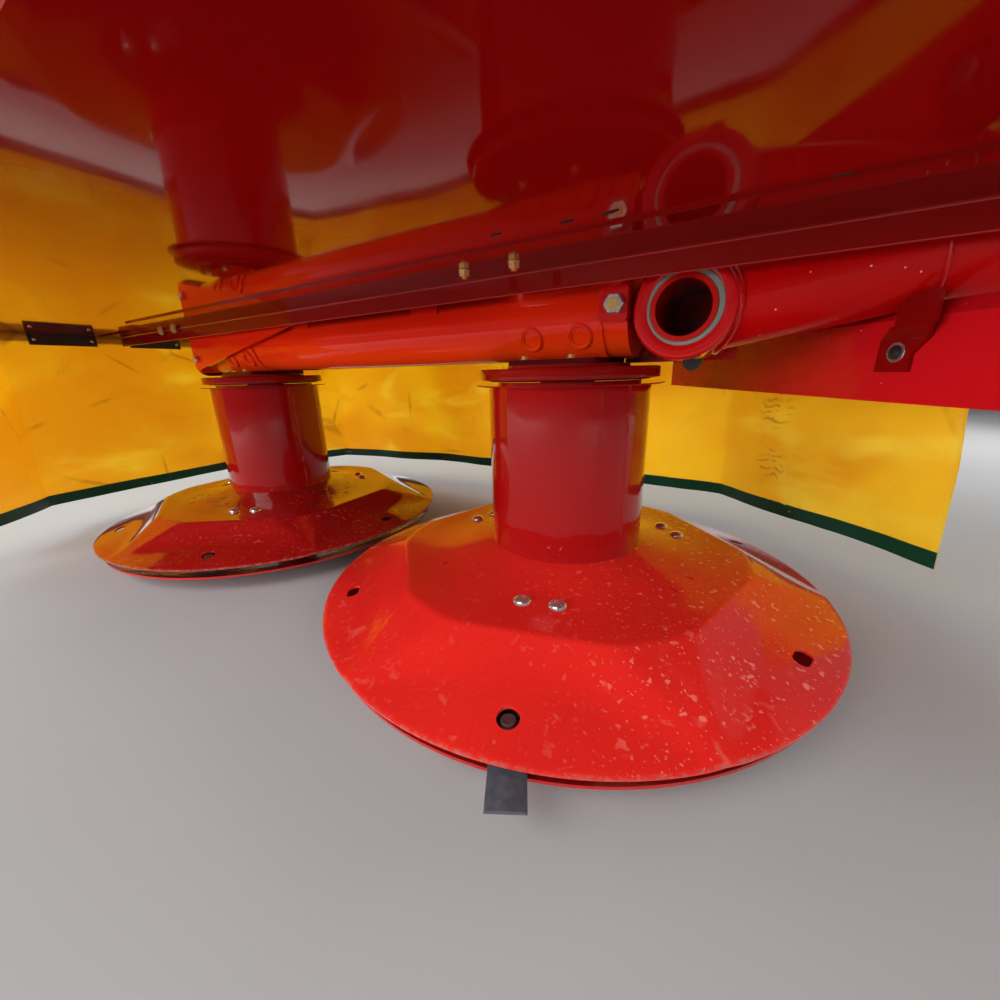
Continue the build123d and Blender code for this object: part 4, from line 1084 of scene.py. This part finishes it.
def inner_lean(distance, drop):
    """The sheet's inner end is cut on a slant: it starts further back towards the top."""
    return LEAN * max(LEAN_DROP - drop, 0.0) * LEAN_SHARE * max(1.0 - distance / LEAN_RUN, 0.0)


def curtain():
    points, length = skirt_points(SKIRT_STEP)
    columns = len(points) - 1

    def where_from(high, count, proud):
        def where(c, r):
            at, distance, out = points[c]
            z = high + (HEM_Z - high) * r / count
            drop = CURTAIN_TOP - z
            shift = billow(distance, drop) - SKIRT_INSIDE + proud
            back = inner_lean(distance, drop)
            pull = fold_pull(at, drop)
            return (
                at.x + out.x * shift - out.y * back + pull.x,
                at.y + out.y * shift + out.x * back + pull.y,
                z,
            )
        return where

    sheet = Shape().grid(columns, CLOTH_ROWS, where_from(CURTAIN_TOP, CLOTH_ROWS, 0.0))
    cloth = sheet.piece("curtain_cloth", "yellow_sheet", "cutter", CLOTH_SMOOTH)
    thicken(cloth, CLOTH)
    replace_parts(cloth, "curtain")
    band = Shape()
    for proud in (HEM_PROUD, -HEM_PROUD):
        band.grid(columns, HEM_ROWS, where_from(HEM_Z + HEM_HEIGHT, HEM_ROWS, proud))
    hem = band.piece("curtain_hem", "green_hem", "cutter", CLOTH_SMOOTH)


def thicken(piece, sheet):
    solid = piece.modifiers.new("sheet", "SOLIDIFY")
    solid.thickness = sheet
    solid.offset = 0.0
    apply_modifiers(piece)


def front_curtain():
    """Front curtain thrown up over the deck's edge and lying on it."""
    low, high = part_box("front_curtain")
    wide = high[0] - low[0]
    deep = high[1] - low[1]
    deck = low[2] + LAID_LIFT

    def where(c, r):
        x = low[0] + wide * c / LAID_COLUMNS
        y = high[1] - deep * r / LAID_ROWS
        lift = 0.5 + noise.noise((x * 3.1, y * 4.0, 3.0))
        ripple = 0.3 + noise.noise((x * 9.0, y * 7.0, 8.0))
        edge = min(min(r, LAID_ROWS - r) / 4.0, 1.0)
        return (x, y, deck + max(lift, 0.0) * LAID_WAVES * edge + max(ripple, 0.0) * LAID_RIPPLES * edge)

    def band(c, r):
        x, y, z = where(c, LAID_ROWS - 3 + r)
        return (x, y, z + HEM_PROUD)

    sheet = Shape().grid(LAID_COLUMNS, LAID_ROWS, where)
    cloth = sheet.piece("front_curtain_cloth", "yellow_sheet", "cutter", CLOTH_SMOOTH)
    thicken(cloth, CLOTH)
    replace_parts(cloth, "front_curtain")
    strip = Shape().grid(LAID_COLUMNS, 3, band)
    hem = strip.piece("front_curtain_hem", "green_hem", "cutter", CLOTH_SMOOTH)


# Hub and pivot

def hub():
    """Arm's hub with its worn grey bush, thicker on one side, and rounded edges."""
    move = along_y(HUB_X, 0.0, BEAM_Z)
    low = HUB_REAR
    high = HUB_FRONT
    middle = HUB_R - HUB_ROUND

    def worn(seats):
        return lambda turn, height, index: BUSH_SHIFT * cos(turn - BUSH_WAY) if index in seats else 0.0

    rim = [(BUSH_R, low), (HUB_R - 0.002, low), (HUB_R, low + 0.002)]
    for step in range(9):
        turn = pi / 2 * step / 8
        rim.append((middle + HUB_ROUND * cos(turn), high - HUB_ROUND + HUB_ROUND * sin(turn)))
    rim += [(BUSH_R + 0.0022, high), (BUSH_R, high - 0.0012)]
    shape = Shape().lathe(rim, 192, move, True, worn((0, 12, 13)))
    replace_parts(shape.piece("hub_ring", "hub_red", "arm", 40.0), "arm_hub")
    rim = [
        (PIVOT_R, low),
        (BUSH_R, low),
        (BUSH_R, high - 0.001),
        (BUSH_R - 0.001, high),
        (PIVOT_R + 0.0012, high),
        (PIVOT_R, high - 0.0012),
    ]
    bush = Shape().lathe(rim, 160, move, True, worn((1, 2, 3)))
    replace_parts(bush.piece("hub_bush", "grey_plastic", "arm", 40.0), "pivot_bush")


def weld(name, centres, radius, body, lumps=1.0):
    """Bead laid along a closed or open run of points."""
    shape = Shape()
    rings = []
    count = 10
    for index, at in enumerate(centres):
        before = centres[max(index - 1, 0)]
        after = centres[min(index + 1, len(centres) - 1)]
        way = (after - before).normalized()
        turned = way.to_track_quat("Z", "Y").to_matrix()
        grain = noise.noise((index * 0.37, radius * 900, 1.0))
        ripple = 1.0 + 0.10 * lumps * sin(index * 2.1) + 0.12 * lumps * grain
        turns = [2 * pi * i / count for i in range(count)]
        rings.append([at + turned @ Vector((cos(turn), sin(turn), 0)) * radius * ripple for turn in turns])
    points = [point for ring in rings for point in ring]
    faces = between_rings(len(rings) - 1, count)
    faces.append(tuple(reversed(range(count))))
    faces.append(tuple(range((len(rings) - 1) * count, len(rings) * count)))
    shape.add(points, faces)
    return shape.piece(name, "hub_red" if body == "arm" else "beam_red", body, 60.0)


def arm_direction():
    low = Vector((HUB_X, ARM_Y, BEAM_Z))
    high = Vector((MITRE_X, ARM_Y, ARM_Z))
    return low, high, (high - low).normalized()


def welds():
    """Beads where the arm meets its hub and along its mitre."""
    low, high, way = arm_direction()
    side = Vector((0, 1, 0))
    over = way.cross(side).normalized()
    points = []
    for step in range(97):
        turn = 2 * pi * step / 96
        around = (side * cos(turn) + over * sin(turn)) * BEAM_R
        start = low + around
        offset = Vector((start.x - HUB_X, 0, start.z - BEAM_Z))
        along = offset.x * way.x + offset.z * way.z
        spare = along * along - (offset.x ** 2 + offset.z ** 2 - HUB_R ** 2)
        if spare < 0:
            continue
        points.append(start + way * (-along + sqrt(spare)))
    weld("hub_weld", points, HUB_WELD_R, "arm", 0.4)
    level = Vector((-1, 0, 0))
    half = (way + level).normalized()
    ring = []
    for step in range(97):
        turn = 2 * pi * step / 96
        around = side * cos(turn) + over * sin(turn)
        start = high + around * BEAM_R
        ring.append(start - way * ((start - high).dot(half) / way.dot(half)))
    weld("mitre_weld", ring, MITRE_WELD_R, "arm")


def bolt_rings():
    """Cast beads round the two bolt seats on the front of each bearing saddle."""
    for name, drum_x in DRUM_XS.items():
        for side in (-1, 1):
            ring = []
            for step in range(49):
                turn = 2 * pi * step / 48
                angle = RING_ANGLE + RING_MIDDLE_R * sin(turn) / RING_FACE_R
                x = drum_x + side * RING_PITCH / 2 + RING_MIDDLE_R * cos(turn)
                ring.append(Vector((x, RING_FACE_R * cos(angle), BEAM_Z + RING_FACE_R * sin(angle))))
            hand = "left" if side < 0 else "right"
            weld(f"bolt_ring_{name}_{hand}", ring, RING_BEAD_R, "cutter", 0.0)


def grease_nub():
    """Dark half-round stop under the hub."""
    shape = Shape()
    outline = [(STOP_R * cos(pi * i / 16), STOP_DROP * sin(pi * i / 16)) for i in range(17)]
    shape.prism(outline, 0.0, STOP_WIDE, along_y(HUB_X - STOP_R, STOP_Y, STOP_Z))
    shape.piece("hub_stop", "black_rubber", "arm", 30.0)


# Fastenings that show

def nut_and_stud(shape, x, y, z, axis=(0, 0, -1)):
    """M8 nut on its washer with the thread's end standing out."""
    at = Vector((x, y, z))
    way = Vector(axis)
    shape.cylinder(NUT_WASHER_R, 0.0, NUT_WASHER, 32, facing(at, way), 0.0004)
    hex_head(shape, NUT_ACROSS, NUT_HEIGHT, at + way * NUT_WASHER, way, False)
    stud(shape, STUD_R, STUD_LENGTH, at + way * STUD_FROM, way)


def fastenings():
    bolts = Shape()
    for x, y in RAIL_BOLTS:
        nut_and_stud(bolts, x, y, RAIL_FACE)
    bolts.piece("rail_bolts", "zinc", "cutter")
    keeper = Shape()
    crowns = Shape()
    for (x, y, z), across, height, crown_r in KEEPER_BOLTS:
        hex_head(keeper, across, height, (x, y, z), (0, 1, 0), False)
        top = (x, y + height - CROWN_SUNK, z)
        crowns.cylinder(crown_r, 0.0, CROWN, 40, facing(top, (0, 1, 0)), CROWN / 2)
    keeper.piece("keeper_bolts", "pale_zinc", "cutter")
    crowns.piece("keeper_bolt_crowns", "zinc", "cutter")
    feet = Shape()
    for drum_x in DRUM_XS.values():
        for x in FOOT_BOLT_XS:
            at = (drum_x + x, FOOT_BOLT_Y, FOOT_BOLT_Z)
            hex_head(feet, FOOT_BOLT_ACROSS, FOOT_BOLT_HEIGHT, at, (0, 0, 1))
    feet.piece("saddle_bolts", "zinc", "cutter")
    way = (STRAP_TOE - STRAP_KNEE).normalized()
    out = Vector((way.y, -way.x, 0.0))
    at = STRAP_KNEE + way * STRAP_BOLT_RUN + out * STRAP_SHEET
    at.z = STRAP_BOLT_Z
    washer = Shape().cylinder(STRAP_WASHER_R, 0.0, STRAP_WASHER, 48, facing(at, out), 0.0005)
    washer.piece("strap_washer", "pale_zinc", "arm")
    head = Shape()
    dome_head(head, STRAP_HEAD_R, STRAP_HEAD_HEIGHT, at + out * STRAP_WASHER, out)
    head.piece("strap_bolt", "dark_steel", "arm")


def rail_edges():
    """Inner bend and rolled lower edge of the rail, in a paler red as painted highlight."""
    low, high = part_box("rail")
    face = low[1] + RAIL_SHEET
    top = high[2] - RAIL_SHEET
    bend = [(0.0, 0.0)]
    for step in range(9):
        turn = pi / 2 * step / 8
        bend.append((RAIL_BEND * (1 - sin(turn)), RAIL_BEND * (1 - cos(turn))))
    shape = Shape()
    sheet = Matrix(((0, 0, 1, 0), (1, 0, 0, face), (0, -1, 0, top), (0, 0, 0, 1)))
    shape.prism(bend, low[0], high[0], sheet)
    half = RAIL_SHEET / 2
    shape.cylinder(half, low[0], high[0], 16, along_x(0.0, low[1] + half, low[2]))
    shape.piece("rail_edges", "edge_red", "cutter", 50.0)


def deck_plugs():
    """Flat black plugs in the slots along the front of the deck."""
    shape = Shape()
    for x, y, half in PLUGS:
        move = Matrix.Translation((x, y, DECK_Z - PLUG_SHEET)) @ Matrix.Rotation(PLUG_TURN, 4, "Z")
        outline = [(half * cos(pi * i / 16), PLUG_HALF_WIDTH * sin(pi * i / 16)) for i in range(32)]
        shape.prism(outline, 0.0, PLUG_SHEET, move)
    shape.piece("deck_plugs", "black_rubber", "cutter", 40.0)


def strip_rivets():
    """Bright rivet near each end of each curtain strip."""
    shape = Shape()
    for start, end in zip(SKIRT[:-1], SKIRT[1:]):
        a = Vector(start)
        b = Vector(end)
        run = (b - a).length
        count = max(int((run - STRIP_LENGTH) // STRIP_PITCH), 0) + 1
        first = (run - STRIP_LENGTH - (count - 1) * STRIP_PITCH) / 2
        way = (b - a).normalized()
        inward = Vector((-way.y, way.x))
        for index in range(count):
            for inset in (RIVET_INSET, STRIP_LENGTH - RIVET_INSET):
                spot = a + way * (first + index * STRIP_PITCH + inset) + inward * STRIP_FACE
                dome_head(shape, RIVET_R, RIVET_HEIGHT, (spot.x, spot.y, STRIP_Z), (inward.x, inward.y, 0))
    shape.piece("strip_rivets", "pale_zinc", "cutter")


# Light, floor and camera

def stage():
    mesh = bpy.data.meshes.new("floor")
    corners = [(a * FLOOR_HALF, b * FLOOR_HALF, 0) for a, b in ((-1, -1), (1, -1), (1, 1), (-1, 1))]
    mesh.from_pydata(corners, [], [(0, 1, 2, 3)])
    floor = bpy.data.objects.new("floor", mesh)
    bpy.context.collection.objects.link(floor)
    n = Nodes("pale_floor")
    tone = n.mix(n.ramp(n.noise(0.8, 3.0), 0.3, 0.7), (0.40, 0.40, 0.40), (0.37, 0.37, 0.37))
    n.link(tone, n.shader.inputs["Base Color"])
    n.put(Roughness=0.85)
    mesh.materials.append(n.material)


def lights():
    world = bpy.data.worlds.new("studio")
    world.use_nodes = True
    sky = world.node_tree.nodes["Background"]
    sky.inputs["Color"].default_value = SKY
    sky.inputs["Strength"].default_value = SKY_STRENGTH
    bpy.context.scene.world = world
    bpy.context.scene.view_settings.view_transform = "Standard"
    for name, at, target, size, power, glossy in LIGHTS:
        data = bpy.data.lights.new(name, "AREA")
        data.shape = "RECTANGLE"
        data.size, data.size_y = size
        data.energy = power
        light = bpy.data.objects.new(name, data)
        bpy.context.collection.objects.link(light)
        light.visible_glossy = glossy
        light.location = at
        light.rotation_euler = (Vector(target) - Vector(at)).to_track_quat("-Z", "Y").to_euler()


for name in DRUM_XS:
    cutting_disc(name)
    drum(name)
    cap(name)
    saucer(name)
curtain()
front_curtain()
hub()
welds()
bolt_rings()
grease_nub()
fastenings()
rail_edges()
deck_plugs()
strip_rivets()

SLOT_MATERIALS = {"frame_red": "frame_red", "disc_red": "disc_inner"}
for row in frame["record"]["subparts"]:
    wear_slot = row["material_slot"]
    node = NODES[row["node"]]
    wear(node, SLOT_MATERIALS.get(wear_slot, wear_slot))
wear(NODES["deck"], "deck_red")
wear(NODES["rail"], "rail_red")
wear(NODES["carrier_arm"], "arm_red")
wear(NODES["deflector_plate"], "plate_red")
wear(NODES["deflector_bracket"], "strap_red")
for name in ("stand_leg", "link_pin_left", "link_pin_right"):
    wear(NODES[name], "pale_zinc")
for name in ("gear_beam", "end_plate"):
    wear(NODES[name], "beam_red")
wear(NODES["base_plate"], "plate_bore")
wear(NODES["curtain_strips"], "black_plastic")
for name, node in NODES.items():
    if name.startswith("knife_"):
        wear(node, "knife_steel")
        edge = node.modifiers.new("edge", "BEVEL")
        edge.width = KNIFE_EDGE
        edge.segments = 2
wear(NODES["disc_outer"], "disc_outer")
smooth = smooth_shading()
for node in NODES.values():
    shade = node.modifiers.new("smooth", "NODES")
    shade.node_group = smooth

place_camera()
stage()
lights()
